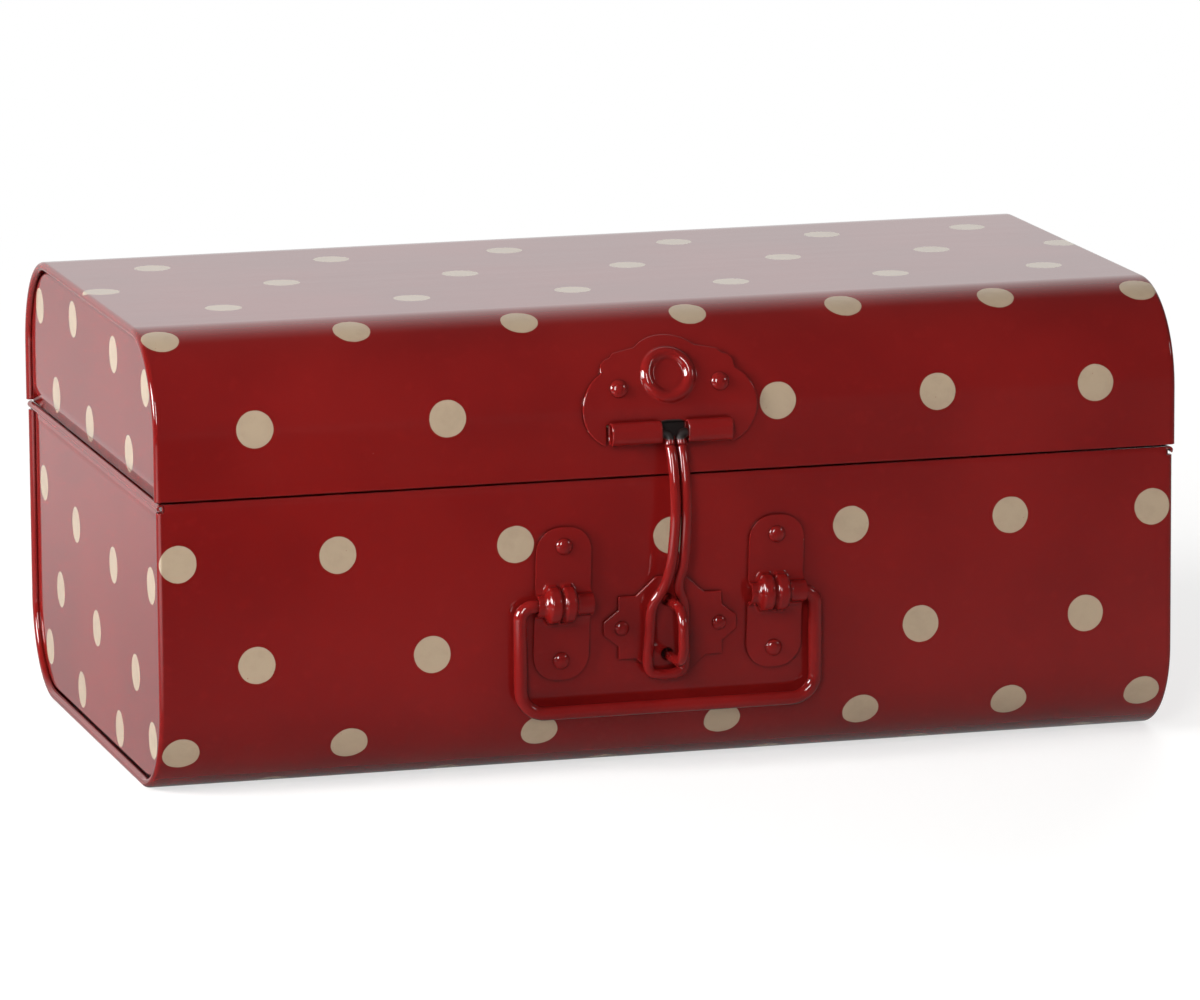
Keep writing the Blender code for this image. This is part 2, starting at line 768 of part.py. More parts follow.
def hasp_plate_outline():
    """Outline of the flat blank, measured up from the barrels' axis: the tab that is rolled, an ear at
    each side and a crown over the ring."""
    ear = (EAR_CENTRE_X, EAR_CENTRE_RISE)
    tab_x = BARREL_HALF_LENGTH
    ear_foot = -acos((tab_x - EAR_CENTRE_X) / EAR_RADIUS)
    ear_top = acos((NOTCH_X - EAR_CENTRE_X) / EAR_RADIUS)
    shoulder = (NOTCH_X - SHOULDER_RADIUS, SHOULDER_RISE - SHOULDER_RADIUS)
    hump_end = asin((CROWN_RISE - RING_RISE) / HUMP_RADIUS)
    side = [(tab_x, -BARREL_BLANK)]
    side += arc(ear, EAR_RADIUS, ear_foot, ear_top, CIRCLE_STEPS // 2 + 1)
    side += arc(shoulder, SHOULDER_RADIUS, 0, pi / 2, BEND_STEPS // 2)
    side += [(CROWN_X, (SHOULDER_RISE + CROWN_RISE) / 2)]
    side += arc((0, RING_RISE), HUMP_RADIUS, hump_end, pi / 2, BEND_STEPS)
    return mirrored(side)


def embossed_ring(place):
    """The raised ring pressed into the plate, as a half-round bead sunk a little into it."""
    sink = PLATE / 2
    turns = [pi - pi * i / BEND_STEPS for i in range(BEND_STEPS + 1)]
    profile = [(RING_RADIUS + RING_HALF_WIDTH * cos(a), RING_STAND * sin(a)) for a in turns]
    profile += [(RING_RADIUS + RING_HALF_WIDTH, -sink), (RING_RADIUS - RING_HALF_WIDTH, -sink)]
    mesh = bpy.data.meshes.new("ring")
    edges = [(i, (i + 1) % len(profile)) for i in range(len(profile))]
    mesh.from_pydata([(r, 0, h) for r, h in profile], edges, [])
    made = bpy.data.objects.new("ring", mesh)
    CUTTERS.objects.link(made)
    step = made.modifiers.new("turn", "SCREW")
    step.steps = 2 * CIRCLE_STEPS
    step.render_steps = 2 * CIRCLE_STEPS
    step.use_merge_vertices = True
    step.merge_threshold = WELD
    settle(made)
    bm = bmesh.new()
    bm.from_mesh(made.data)
    bmesh.ops.recalc_face_normals(bm, faces=bm.faces)
    bm.to_mesh(made.data)
    bm.free()
    made.data.transform(Matrix.Translation(place))
    return made


def make_hasp_plate():
    """A flat blank with a raised ring, tabs rolled into barrels, and its top bent to the lid's corner."""
    bend_level = LID_FLAT_TOP - HASP_BARREL_HEIGHT
    places = [(side * HASP_RIVET_X, rise) for _, side, rise in HASP_RIVET_PLACES]
    holes = [circle(place, RIVET_HOLE, RIVET_SIDES) for place in places]
    plate = blank("hasp_plate", [hasp_plate_outline()] + holes, PLATE)
    low_end = BARREL_SHIFT - BARREL_HALF_LENGTH
    high_end = BARREL_SHIFT + BARREL_HALF_LENGTH
    slots = (
        (low_end - BARREL_SHEAR_GAP, low_end),
        (SLOT_CENTRE - SLOT_HALF_WIDTH, SLOT_CENTRE + SLOT_HALF_WIDTH),
        (high_end, high_end + BARREL_SHEAR_GAP),
    )
    foot = -BARREL_BLANK - OVERRUN
    for number, (low, high) in enumerate(slots):
        cutter = box_cutter(f"barrel_slot_{number}", (low, foot, -OVERRUN), (high, BARREL_SHEAR_TOP, OVERRUN))
        boolean(plate, cutter, "DIFFERENCE")
    for number, (low, high) in enumerate(((-CASE_LENGTH, low_end), (high_end, CASE_LENGTH))):
        top = EAR_CENTRE_RISE - EAR_RADIUS
        cutter = box_cutter(f"tab_side_{number}", (low, foot, -OVERRUN), (high, top, OVERRUN))
        boolean(plate, cutter, "DIFFERENCE")
    unite(plate, [embossed_ring(Vector((0, RING_RISE, PLATE)))])
    plate_top = RING_RISE + HUMP_RADIUS - bend_level
    steps = ceil(plate_top / PLATE_BEND_STEP)
    bend(plate.data, bend_level, -LID_CORNER - CLEARANCE, LID_CORNER, plate_top / LID_CORNER, steps)
    middle = Matrix.Translation((-BARREL_SHIFT, 0, 0))
    plate.data.transform(middle)
    closing_start = -BARREL_RADIUS * pi - BARREL_RISE
    roll = (BARREL_RADIUS, BARREL_RADIUS)
    bend(plate.data, closing_start, *roll, BARREL_CLOSING_TURN, BARREL_CLOSING_STEPS, BARREL_HALF_LENGTH)
    bend(plate.data, 0, *roll, pi, BARREL_STEPS, BARREL_HALF_LENGTH)
    plate.data.transform(middle.inverted())
    place = Vector((CLASP_CENTRE, LID_FRONT - CLEARANCE, HASP_BARREL_HEIGHT))
    plate.data.transform(Matrix.Translation(place) @ ON_FRONT)
    smooth(plate.data)
    made = [plate]
    for name, point, outward in HASP_RIVETS:
        made.append(rivet(name, point, outward, HASP_RIVET_HEAD))
    return made


def make_hasp_loop():
    """Two strands from the barrel that bow out, part into an eye and join below the staple."""
    half_gap = (HASP_WIRE + STRAND_GAP) / 2
    strand = []
    for shank, eye, bow, spread, shift in LOOP_SHARES:
        x = half_gap + (HASP_EYE_HALF_WIDTH - half_gap) * spread if eye < 1 else HASP_EYE_HALF_WIDTH * spread
        drop = HASP_SHANK * shank + HASP_EYE_LENGTH * eye
        strand.append((x, HASP_EYE_SHIFT * shift, -HASP_BOW * bow, -drop))
    right = [HASP_AXIS + Vector((shift + x, y, z)) for x, shift, y, z in strand]
    left = [HASP_AXIS + Vector((shift - x, y, z)) for x, shift, y, z in strand]
    axle = Vector((HASP_AXLE_LENGTH, 0, 0))
    neck = Vector((HASP_WIRE, 0, 0))
    route = smooth_path(left[1:] + right[:0:-1], WIRE_STEPS)
    start = rounded_path([left[0] - axle, left[0], route[0], route[1]], [HASP_WIRE / 2, HASP_WIRE])[:-2]
    finish = rounded_path([right[0] + axle, right[0], route[-1], route[-2]], [HASP_WIRE / 2, HASP_WIRE])[:-2]
    path = [start[0], start[0] + (axle - neck)] + start[1:] + route + finish[:0:-1]
    path += [finish[0] - (axle - neck), finish[0]]
    loop = wire("hasp_loop", path, HASP_WIRE)
    set_origin(loop, HASP_AXIS)
    return loop


# Staple and its plate


def make_staple():
    quarter = [(STAPLE_PLATE_HALF_WIDTH * x, STAPLE_PLATE_HALF_HEIGHT * y) for x, y in STAPLE_PLATE_SHARES]
    half = [(x, -y) for x, y in reversed(quarter)] + quarter
    outline = mirrored(half)
    holes = [circle((side * STAPLE_RIVET_X, 0), RIVET_HOLE, RIVET_SIDES) for _, side in SIDES]
    place = Vector((STAPLE_PLATE_X, CASE_FRONT - CLEARANCE, STAPLE_PLATE_HEIGHT))
    holes += [circle((leg.x - place.x, leg.z - place.z), STAPLE_HOLE, RIVET_SIDES) for leg in STAPLE_LEGS]
    plate = blank("staple_plate", [outline] + holes, PLATE)
    plate.data.transform(Matrix.Translation(place) @ ON_FRONT)
    smooth(plate.data)
    tail = Vector((0, SHEET + STAPLE_TAIL, 0))
    reach = Vector((0, -STAPLE_REACH, 0))
    upper, lower = STAPLE_LEGS
    corners = [upper + tail, upper + reach, lower + reach, lower + tail]
    wire("staple", rounded_path(corners, [STAPLE_BEND, STAPLE_BEND]), STAPLE_WIRE)
    for name, point, outward in STAPLE_RIVETS:
        rivet(name, point, outward, STAPLE_RIVET_HEAD)


# Handle


def ease(share):
    """A smooth step from 0 to 1."""
    share = min(max(share, 0), 1)
    return (1 - cos(pi * share)) / 2


def knuckle_radius(x):
    """Outer radius of the knuckle across its width: plain ends, and a bulge with a groove in its middle."""
    from_middle = abs(x - BULGE_SHIFT)
    bulge = ease((BULGE_HALF_WIDTH - from_middle) / BULGE_EDGE)
    groove = GROOVE_DEPTH_SHARE * ease((GROOVE_HALF_WIDTH - from_middle) / GROOVE_HALF_WIDTH)
    return KNUCKLE_RADIUS + (BULGE_RADIUS - KNUCKLE_RADIUS) * (bulge - groove)


def bracket_columns():
    """Stations across the bracket's width, close together over the edges of the bulge and the groove."""
    half = BRACKET_WIDTH / 2
    shoulder = BULGE_HALF_WIDTH - BULGE_EDGE
    offsets = [BULGE_HALF_WIDTH - BULGE_EDGE * i / BULGE_STEPS for i in range(BULGE_STEPS + 1)]
    offsets += [(shoulder + GROOVE_HALF_WIDTH) / 2, GROOVE_HALF_WIDTH, GROOVE_HALF_WIDTH / 2]
    inner = [BULGE_SHIFT - x for x in offsets] + [BULGE_SHIFT] + [BULGE_SHIFT + x for x in reversed(offsets)]
    return [-half] + inner + [half]


def bracket_rows():
    """Stations along the strap from its lower end to its upper end.

    Each is ('tab', distance from the axis, half width) or ('knuckle', angle)."""
    half = BRACKET_WIDTH / 2
    reach = BRACKET_HEIGHT / 2
    tab = []
    for i in range(TAB_STEPS + 1):
        step = BRACKET_CORNER * (1 - cos(pi / 2 * i / TAB_STEPS))
        width = half - BRACKET_CORNER + sqrt(max(0, BRACKET_CORNER**2 - (BRACKET_CORNER - step) ** 2))
        tab.append((reach - step, width))
    tab.append((BULGE_RADIUS + TAB_MARGIN, half))
    rows = [("tab", -z, width) for z, width in tab]
    rows += [("knuckle", -pi / 2 + pi * i / KNUCKLE_ROWS, half) for i in range(KNUCKLE_ROWS + 1)]
    rows += [("tab", z, width) for z, width in reversed(tab)]
    return rows


def make_bracket(word, side):
    """A strap with a tab above and below, and a bulged knuckle over the bail's wire."""
    columns = bracket_columns()
    rows = bracket_rows()
    bm = bmesh.new()
    bmesh.ops.create_grid(bm, x_segments=len(columns) - 1, y_segments=len(rows) - 1, size=1)
    centre = BRACKET_CENTRE + side * BRACKET_SPACING / 2
    for vert in bm.verts:
        x = columns[round((vert.co.x + 1) / 2 * (len(columns) - 1))]
        kind, place, half = rows[round((vert.co.y + 1) / 2 * (len(rows) - 1))]
        stand, height = PLATE_STAND, place
        if kind == "knuckle":
            stand = HANDLE_AXIS_STAND + knuckle_radius(x) * cos(place)
            height = knuckle_radius(x) * sin(place)
        x = x * half / (BRACKET_WIDTH / 2) + height * BRACKET_LEAN
        vert.co = (centre + x, CASE_FRONT - stand, HANDLE_AXIS_HEIGHT + height)
    face_out(bm, largest_face_towards(OUT_FRONT))
    mesh = bpy.data.meshes.new(word + "_bracket")
    bm.to_mesh(mesh)
    bm.free()
    made = add_part(word + "_bracket", mesh)
    smooth(mesh)
    give_thickness(made, PLATE)
    holes = [(p, d, RIVET_HOLE) for name, p, d in BRACKET_RIVETS if name.startswith(word)]
    boolean(made, hole_cutter(word + "_bracket_holes", holes), "DIFFERENCE")


def make_handle():
    for word, side in SIDES:
        make_bracket(word, side)
    for name, point, outward in BRACKET_RIVETS:
        rivet(name, point, outward, BRACKET_RIVET_HEAD)
    end = (BRACKET_SPACING - BRACKET_WIDTH) / 2 + BAIL_END_RECESS
    half = BAIL_WIDTH / 2
    corners = []
    for side in (-1, 1):
        inner = HANDLE_AXIS + Vector((side * end, 0, 0))
        elbow = HANDLE_AXIS + Vector((BAIL_SHIFT + side * half, 0, 0))
        foot = elbow - Vector((0, 0, BAIL_DROP))
        corners += [inner, elbow, foot] if side < 0 else [foot, elbow, inner]
    bends = [BAIL_TOP_BEND, BAIL_LOWER_BEND, BAIL_LOWER_BEND, BAIL_TOP_BEND]
    bail = wire("handle_bail", rounded_path(corners, bends), BAIL_WIRE)
    set_origin(bail, HANDLE_AXIS)


# Hinges


def make_leaf(name, cuts, centre, upright):
    """A hinge leaf: a flat blank cut away where the other leaf's knuckles turn, its tongues rolled round
    the pin. The lid's leaf stands upright, the case's hangs."""
    half = HINGE_WIDTH / 2
    foot = -HINGE_RADIUS * KNUCKLE_TURN
    corner = (half - HINGE_CORNER, HINGE_LEAF_HEIGHT - HINGE_CORNER)
    outline = mirrored([(half, foot)] + arc(corner, HINGE_CORNER, 0, pi / 2, BEND_STEPS // 2))
    places = [(side * HINGE_RIVET_SPACING / 2, HINGE_RIVET_HEIGHT) for _, side in SIDES]
    holes = [circle(place, RIVET_HOLE, RIVET_SIDES) for place in places]
    leaf = blank(name, [outline] + holes, PLATE)
    top = HINGE_RADIUS + CLEARANCE
    for number, (low, high) in enumerate(cuts):
        cutter = box_cutter(f"{name}_cut_{number}", (low, foot - OVERRUN, -OVERRUN), (high, top, OVERRUN))
        boolean(leaf, cutter, "DIFFERENCE")
    settle(leaf)
    bend(leaf.data, 0, HINGE_RADIUS, HINGE_RADIUS, KNUCKLE_TURN, KNUCKLE_STEPS)
    turn = Matrix.Rotation(0 if upright else pi, 4, "Z")
    place = Vector((centre, CASE_BACK + CLEARANCE, SEAM_HEIGHT))
    leaf.data.transform(Matrix.Translation(place) @ ON_BACK @ turn)
    smooth(leaf.data)
    return leaf


def make_hinge(word, side):
    """A butt hinge: two leaves, three knuckles and a pin headed at both ends. Returns the lid's pieces."""
    centre = side * HINGE_SPACING / 2
    half = HINGE_WIDTH / 2
    knuckle = HINGE_WIDTH * HINGE_KNUCKLE_SHARE / 2
    room = knuckle + HINGE_KNUCKLE_GAP
    beyond = half + OVERRUN
    make_leaf(word + "_hinge_case_leaf", [(-room, room)], centre, False)
    lid_pieces = [make_leaf(word + "_hinge_lid_leaf", [(-beyond, -knuckle), (knuckle, beyond)], centre, True)]
    for rivets, keep in ((CASE_HINGE_RIVETS, []), (LID_HINGE_RIVETS, lid_pieces)):
        for name, point, outward in rivets:
            if name.startswith(word):
                keep.append(rivet(name, point, outward, HINGE_RIVET_HEAD, HINGE_RIVET_DOME_SHARE))
    make_pin(word, centre)
    return lid_pieces


def make_pin(word, centre):
    """Hinge pin with a flat head at each end, just clear of the knuckles."""
    reach = HINGE_WIDTH / 2 + CLEARANCE
    radius = HINGE_PIN / 2
    head = HINGE_RADIUS - CLEARANCE
    profile = [(0, reach + PIN_HEAD), (head - PIN_HEAD / 2, reach + PIN_HEAD), (head, reach), (radius, reach)]
    profile += [(r, -h) for r, h in reversed(profile)]
    pin = turned(word + "_hinge_pin", profile, CIRCLE_STEPS)
    pin.data.transform(Matrix.Rotation(pi / 2, 4, "Y"))
    pin.location = (centre, HINGE_AXIS_Y, SEAM_HEIGHT)


def hang_lid(pieces):
    """The lid's pieces hang on an empty that stands on the hinge axis."""
    axis = bpy.data.objects.new("lid_axis", None)
    PARTS.objects.link(axis)
    axis.location = LID_AXIS
    bpy.context.view_layer.update()
    for piece in pieces:
        piece.parent = axis
        piece.matrix_parent_inverse = axis.matrix_world.inverted()


make_case()
lid_pieces = make_lid() + make_hasp_plate()
make_hasp_loop()
make_staple()
make_handle()
for hinge_word, hinge_side in SIDES:
    lid_pieces += make_hinge(hinge_word, hinge_side)
hang_lid(lid_pieces)
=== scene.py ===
# %% [markdown]
# # A storage suitcase of painted sheet steel
# This file dresses a plain CAD model of a small tin suitcase. The real one is stamped and rolled from thin
# sheet, riveted together, and painted in glossy red enamel with cream dots. Each step first says what the
# piece is and how it is made in a workshop, and then makes it in Blender.

from math import acos, asin, cos, pi, radians, sin, sqrt

import bmesh
import bpy
import numpy as np
from mathutils import Matrix, Vector
from mathutils.geometry import delaunay_2d_cdt


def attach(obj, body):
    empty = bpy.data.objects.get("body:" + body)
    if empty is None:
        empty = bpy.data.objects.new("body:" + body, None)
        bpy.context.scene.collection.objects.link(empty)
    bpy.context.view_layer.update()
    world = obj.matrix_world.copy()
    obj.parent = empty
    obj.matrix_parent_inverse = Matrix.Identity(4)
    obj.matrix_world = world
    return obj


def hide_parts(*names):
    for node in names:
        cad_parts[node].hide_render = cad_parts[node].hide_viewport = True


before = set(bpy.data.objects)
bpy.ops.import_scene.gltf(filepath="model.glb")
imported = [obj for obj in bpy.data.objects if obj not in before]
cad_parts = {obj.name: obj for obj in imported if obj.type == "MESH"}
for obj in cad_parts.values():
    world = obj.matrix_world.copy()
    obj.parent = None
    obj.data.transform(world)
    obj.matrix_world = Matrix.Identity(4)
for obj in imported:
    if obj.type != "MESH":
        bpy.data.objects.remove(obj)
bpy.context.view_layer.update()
MM = 0.001

# %% [markdown]
# ## The camera
# The photograph was taken from a little left of the front and a little above, from far away with a long lens.
# A camera with square pixels was fitted to the suitcase's outline, which gave its place, turn and lens.

# %% Camera
LENS, SENSOR_WIDTH, NEAREST, FARTHEST = 253.8, 36, 0.1, 100
CAMERA_PLACE = Vector((-0.630, -2.277, 0.509))
CAMERA_AZIMUTH, CAMERA_ELEVATION, CAMERA_ROLL = radians(15.53), radians(10.74), radians(-0.40)


def make_camera():
    """The photograph's camera, turned by its three fitted angles."""
    level = cos(CAMERA_ELEVATION)
    forward = Vector((sin(CAMERA_AZIMUTH) * level, cos(CAMERA_AZIMUTH) * level, -sin(CAMERA_ELEVATION)))
    right = forward.cross(Vector((0, 0, 1))).normalized()
    up = right.cross(forward)
    tilted_right = right * cos(CAMERA_ROLL) + up * sin(CAMERA_ROLL)
    tilted_up = tilted_right.cross(forward)
    data = bpy.data.cameras.new("photo_camera")
    data.lens, data.sensor_width = LENS, SENSOR_WIDTH
    data.clip_start, data.clip_end = NEAREST, FARTHEST
    camera = bpy.data.objects.new("photo_camera", data)
    turn = Matrix((tilted_right, tilted_up, -forward)).transposed().to_4x4()
    camera.matrix_world = Matrix.Translation(CAMERA_PLACE) @ turn
    bpy.context.scene.collection.objects.link(camera)
    bpy.context.scene.camera = camera
    return camera


camera = make_camera()
print("camera at", [round(c, 3) for c in camera.location])

# %% [markdown]
# ## Small helpers
# Colours are written as the hex values that a paint card would give and turned to linear light once, here.
# One helper adds a shader or geometry node with its settings and links, so that every material reads as a
# short list. A node can be given to it as a value too, and stands for its own result. Another helper gives a
# finished mesh its name, paint and body, and turns it right side out.

# %% Colours and nodes
SMOOTH = {"interpolation_type": "SMOOTHSTEP"}
COLOURS = {"data_type": "RGBA"}
ADD, SUBTRACT, MULTIPLY = {"operation": "ADD"}, {"operation": "SUBTRACT"}, {"operation": "MULTIPLY"}
MULTIPLY_ADD, MAXIMUM = {"operation": "MULTIPLY_ADD"}, {"operation": "MAXIMUM"}
GREATER, SCALE = {"operation": "GREATER_THAN"}, {"operation": "SCALE"}
LENGTH, DISTANCE = {"operation": "LENGTH"}, {"operation": "DISTANCE"}
# The two colour sockets of a mix node, which shares their names with its other sockets.
FROM, TO = 6, 7


def linear(hex_colour):
    """An sRGB hex colour as linear RGBA."""
    shares = [int(hex_colour[i : i + 2], 16) / 255 for i in (1, 3, 5)]
    return (*[c / 12.92 if c <= 0.04045 else ((c + 0.055) / 1.055) ** 2.4 for c in shares], 1.0)


def node(tree, kind, settings=None, inputs=None):
    """Adds a node, sets its properties, and fills or links its inputs. A node as a value is linked by the
    first output that it shows, and a list is linked item by item."""
    made = tree.nodes.new(kind)
    for name, value in (settings or {}).items():
        setattr(made, name, value)
    for name, value in (inputs or {}).items():
        for part in value if isinstance(value, list) else [value]:
            if isinstance(part, bpy.types.Node):
                part = next(output for output in part.outputs if output.enabled)
            if isinstance(part, bpy.types.NodeSocket):
                tree.links.new(part, made.inputs[name])
            else:
                made.inputs[name].default_value = part
    return made


def new_material(name):
    """An empty node material and its tree."""
    made = bpy.data.materials.new(name)
    made.use_nodes = True
    made.node_tree.nodes.clear()
    return made, made.node_tree


# %% Finishing a mesh
SAME_POINT = 1e-7
BEVEL_STEPS, SHARP_ANGLE = 2, radians(50)


def new_mesh(name, points, faces, marks=None, face_marks=None):
    """A smooth mesh with its faces outwards, and with values kept on its points and faces."""
    mesh = bpy.data.meshes.new(name)
    mesh.from_pydata([tuple(map(float, p)) for p in points], [], [tuple(map(int, f)) for f in faces])
    for key, values in (marks or {}).items():
        values = np.asarray(values, np.float32)
        kind, field = ("FLOAT_VECTOR", "vector") if values.ndim == 2 else ("FLOAT", "value")
        mesh.attributes.new(key, kind, "POINT").data.foreach_set(field, values.ravel())
    for key, values in (face_marks or {}).items():
        values = np.asarray(values, np.float32)
        mesh.attributes.new(key, "FLOAT_VECTOR", "FACE").data.foreach_set("vector", values.ravel())
    bm = bmesh.new()
    bm.from_mesh(mesh)
    bmesh.ops.remove_doubles(bm, verts=bm.verts, dist=SAME_POINT)
    if bm.calc_volume(signed=True) < 0:
        bmesh.ops.reverse_faces(bm, faces=bm.faces)
    bm.to_mesh(mesh)
    open_edges = sum(not e.is_manifold for e in bm.edges)
    bm.free()
    mesh.shade_smooth()
    print(f"{name}: {len(mesh.polygons)} faces, open edges {open_edges}")
    return mesh


def finish_piece(mesh, paint, body, nodes, bevel=0.0):
    """Puts a piece in the scene on its body, in place of its CAD nodes. A bevel rounds its raw edges."""
    piece = bpy.data.objects.new(mesh.name, mesh)
    bpy.context.scene.collection.objects.link(piece)
    mesh.materials.clear()
    mesh.materials.append(paint)
    if bevel:
        step = piece.modifiers.new("raw_edges", "BEVEL")
        step.width, step.segments = bevel, BEVEL_STEPS
        step.limit_method, step.angle_limit = "ANGLE", SHARP_ANGLE
        settle(piece)
    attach(piece, body)
    if nodes:
        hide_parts(*nodes)
    return piece


def worked_out(piece, name):
    """The piece's mesh as its modifiers or its bevel leave it."""
    bpy.context.view_layer.update()
    made = bpy.data.meshes.new_from_object(piece.evaluated_get(bpy.context.evaluated_depsgraph_get()))
    made.name = name
    return made


def settle(piece):
    """Works the piece's modifiers into its mesh."""
    plain = worked_out(piece, piece.data.name)
    piece.modifiers.clear()
    piece.data = plain
    plain.shade_smooth()


# %% [markdown]
# ## The studio
# The suitcase stands on a pale sweep in front of a bright background. A soft box at its left and a tall one
# in front light it, a small one at its right lifts the far side, and one behind fills the shadows without
# leaving a reflection. Glossy paint shows whatever it faces. The top and the left end mirror the bright sweep
# and the floor behind at a shallow angle, which is why they look pale and pinkish. The front mirrors the
# floor before it, where a dark card, which only reflections see, keeps the paint deep. Three soft glows on
# the card stand for the bright things near the photographer, and give the wires and edges their highlights.

# %% World
BACKGROUND = linear("#FFFFFF")
AMBIENT, ROOM, SWEEP_LEVEL = 0.13, 0.10, 0.97
SWEEP = {"From Min": 0.35, "From Max": 0.90, "To Min": ROOM, "To Max": SWEEP_LEVEL}


def make_world():
    """White for the camera, a white sweep behind and a dim room in front for reflections, even light else."""
    world = bpy.data.worlds.new("studio")
    world.use_nodes = True
    tree = world.node_tree
    tree.nodes.clear()
    ray = node(tree, "ShaderNodeLightPath").outputs
    towards = node(tree, "ShaderNodeTexCoord").outputs["Generated"]
    depth = node(tree, "ShaderNodeSeparateXYZ", inputs={"Vector": towards}).outputs["Y"]
    sweep = node(tree, "ShaderNodeMapRange", SMOOTH, {"Value": depth, **SWEEP})
    mirrors = node(tree, "ShaderNodeMath", MAXIMUM, {0: ray["Is Glossy Ray"], 1: ray["Is Transmission Ray"]})
    mirrored = node(tree, "ShaderNodeMix", inputs={"Factor": mirrors, "A": AMBIENT, "B": sweep})
    strength = node(tree, "ShaderNodeMix", inputs={"Factor": ray["Is Camera Ray"], "A": mirrored, "B": 1.0})
    light = node(tree, "ShaderNodeBackground", inputs={"Color": BACKGROUND, "Strength": strength})
    node(tree, "ShaderNodeOutputWorld", inputs={"Surface": light})
    bpy.context.scene.world = world


make_world()
print("world:", bpy.context.scene.world.name)

# %% Floor
FLOOR_PAINT = linear("#ECEAE8")
FLOOR_SIZE = 30.0
FLOOR_LIFT, LIFT_LEVEL = 0.50, 1.30
TO_WHITE = {"From Min": 0.25, "From Max": 0.9}
MIRRORED_FLOOR = {"From Min": 0.0, "From Max": 0.5, "To Min": 0.50, "To Max": 0.70}


def floor_paint():
    """Matt pale paint that keeps the object's shadow near it and turns to plain white further away.
    Reflections see an even grey in its place, brighter towards the back."""
    made, tree = new_material("matt_sweep")
    ray = node(tree, "ShaderNodeLightPath").outputs
    place = node(tree, "ShaderNodeTexCoord").outputs["Object"]
    away = node(tree, "ShaderNodeVectorMath", LENGTH, {0: place})
    far = node(tree, "ShaderNodeMapRange", SMOOTH, {"Value": away, **TO_WHITE})
    lit = node(tree, "ShaderNodeBsdfDiffuse", inputs={"Color": FLOOR_PAINT})
    lift = node(tree, "ShaderNodeEmission", inputs={"Color": BACKGROUND, "Strength": LIFT_LEVEL})
    near = node(tree, "ShaderNodeMixShader", inputs={"Fac": FLOOR_LIFT, 1: lit, 2: lift})
    white = node(tree, "ShaderNodeEmission", inputs={"Color": BACKGROUND, "Strength": 1.0})
    shown = node(tree, "ShaderNodeMixShader", inputs={"Fac": far, 1: near, 2: white})
    depth = node(tree, "ShaderNodeSeparateXYZ", inputs={"Vector": place}).outputs["Y"]
    level = node(tree, "ShaderNodeMapRange", SMOOTH, {"Value": depth, **MIRRORED_FLOOR})
    grey = node(tree, "ShaderNodeEmission", inputs={"Color": BACKGROUND, "Strength": level})
    mirrors = node(tree, "ShaderNodeMath", MAXIMUM, {0: ray["Is Glossy Ray"], 1: ray["Is Transmission Ray"]})
    result = node(tree, "ShaderNodeMixShader", inputs={"Fac": ray["Is Camera Ray"], 1: lit, 2: shown})
    result = node(tree, "ShaderNodeMixShader", inputs={"Fac": mirrors, 1: result, 2: grey})
    node(tree, "ShaderNodeOutputMaterial", inputs={"Surface": result})
    return made


def stage_plane(name, low, high, height, material):
    """A flat rectangle that is part of the studio."""
    corners = [(low[0], low[1]), (high[0], low[1]), (high[0], high[1]), (low[0], high[1])]
    mesh = bpy.data.meshes.new(name)
    mesh.from_pydata([(x, y, height) for x, y in corners], [], [(0, 1, 2, 3)])
    mesh.materials.append(material)
    made = bpy.data.objects.new(name, mesh)
    bpy.context.scene.collection.objects.link(made)
    return made


half_floor = FLOOR_SIZE / 2
stage_plane("floor", (-half_floor, -half_floor), (half_floor, half_floor), 0.0, floor_paint())
print("floor:", FLOOR_SIZE, "m wide")

# %% Dark card
CARD_LOW, CARD_HIGH, CARD_LIFT = (-6.0, -12.0), (6.0, -0.060), 0.0005
NEAR_GLOW = {"From Min": -0.50, "From Max": -0.10, "To Min": 0.05, "To Max": 0.20}
RIGHT_GLOW = {"From Min": -0.05, "From Max": 0.25, "To Max": 0.10}
LEFT_GLOW_PLACE = (-0.42, -0.32, 0.0)
LEFT_GLOW = {"From Min": 0.09, "From Max": 0.30, "To Min": 2.2, "To Max": 0.0}


def card_paint():
    """Black but for three soft glows: near the suitcase, towards its right, and a patch at its front left."""
    made, tree = new_material("dark_card")
    place = node(tree, "ShaderNodeTexCoord").outputs["Object"]
    spot = node(tree, "ShaderNodeSeparateXYZ", inputs={"Vector": place}).outputs
    near = node(tree, "ShaderNodeMapRange", SMOOTH, {"Value": spot["Y"], **NEAR_GLOW})
    right = node(tree, "ShaderNodeMapRange", SMOOTH, {"Value": spot["X"], **RIGHT_GLOW})
    away = node(tree, "ShaderNodeVectorMath", DISTANCE, {0: place, 1: LEFT_GLOW_PLACE})
    left = node(tree, "ShaderNodeMapRange", SMOOTH, {"Value": away, **LEFT_GLOW})
    level = node(tree, "ShaderNodeMath", ADD, {0: near, 1: right})
    level = node(tree, "ShaderNodeMath", ADD, {0: level, 1: left})
    glow = node(tree, "ShaderNodeEmission", inputs={"Color": BACKGROUND, "Strength": level})
    node(tree, "ShaderNodeOutputMaterial", inputs={"Surface": glow})
    return made


card = stage_plane("dark_card", CARD_LOW, CARD_HIGH, CARD_LIFT, card_paint())
card.visible_camera = False
card.visible_diffuse = False
card.visible_shadow = False
card.visible_transmission = False
print("card from", CARD_LOW, "to", CARD_HIGH)

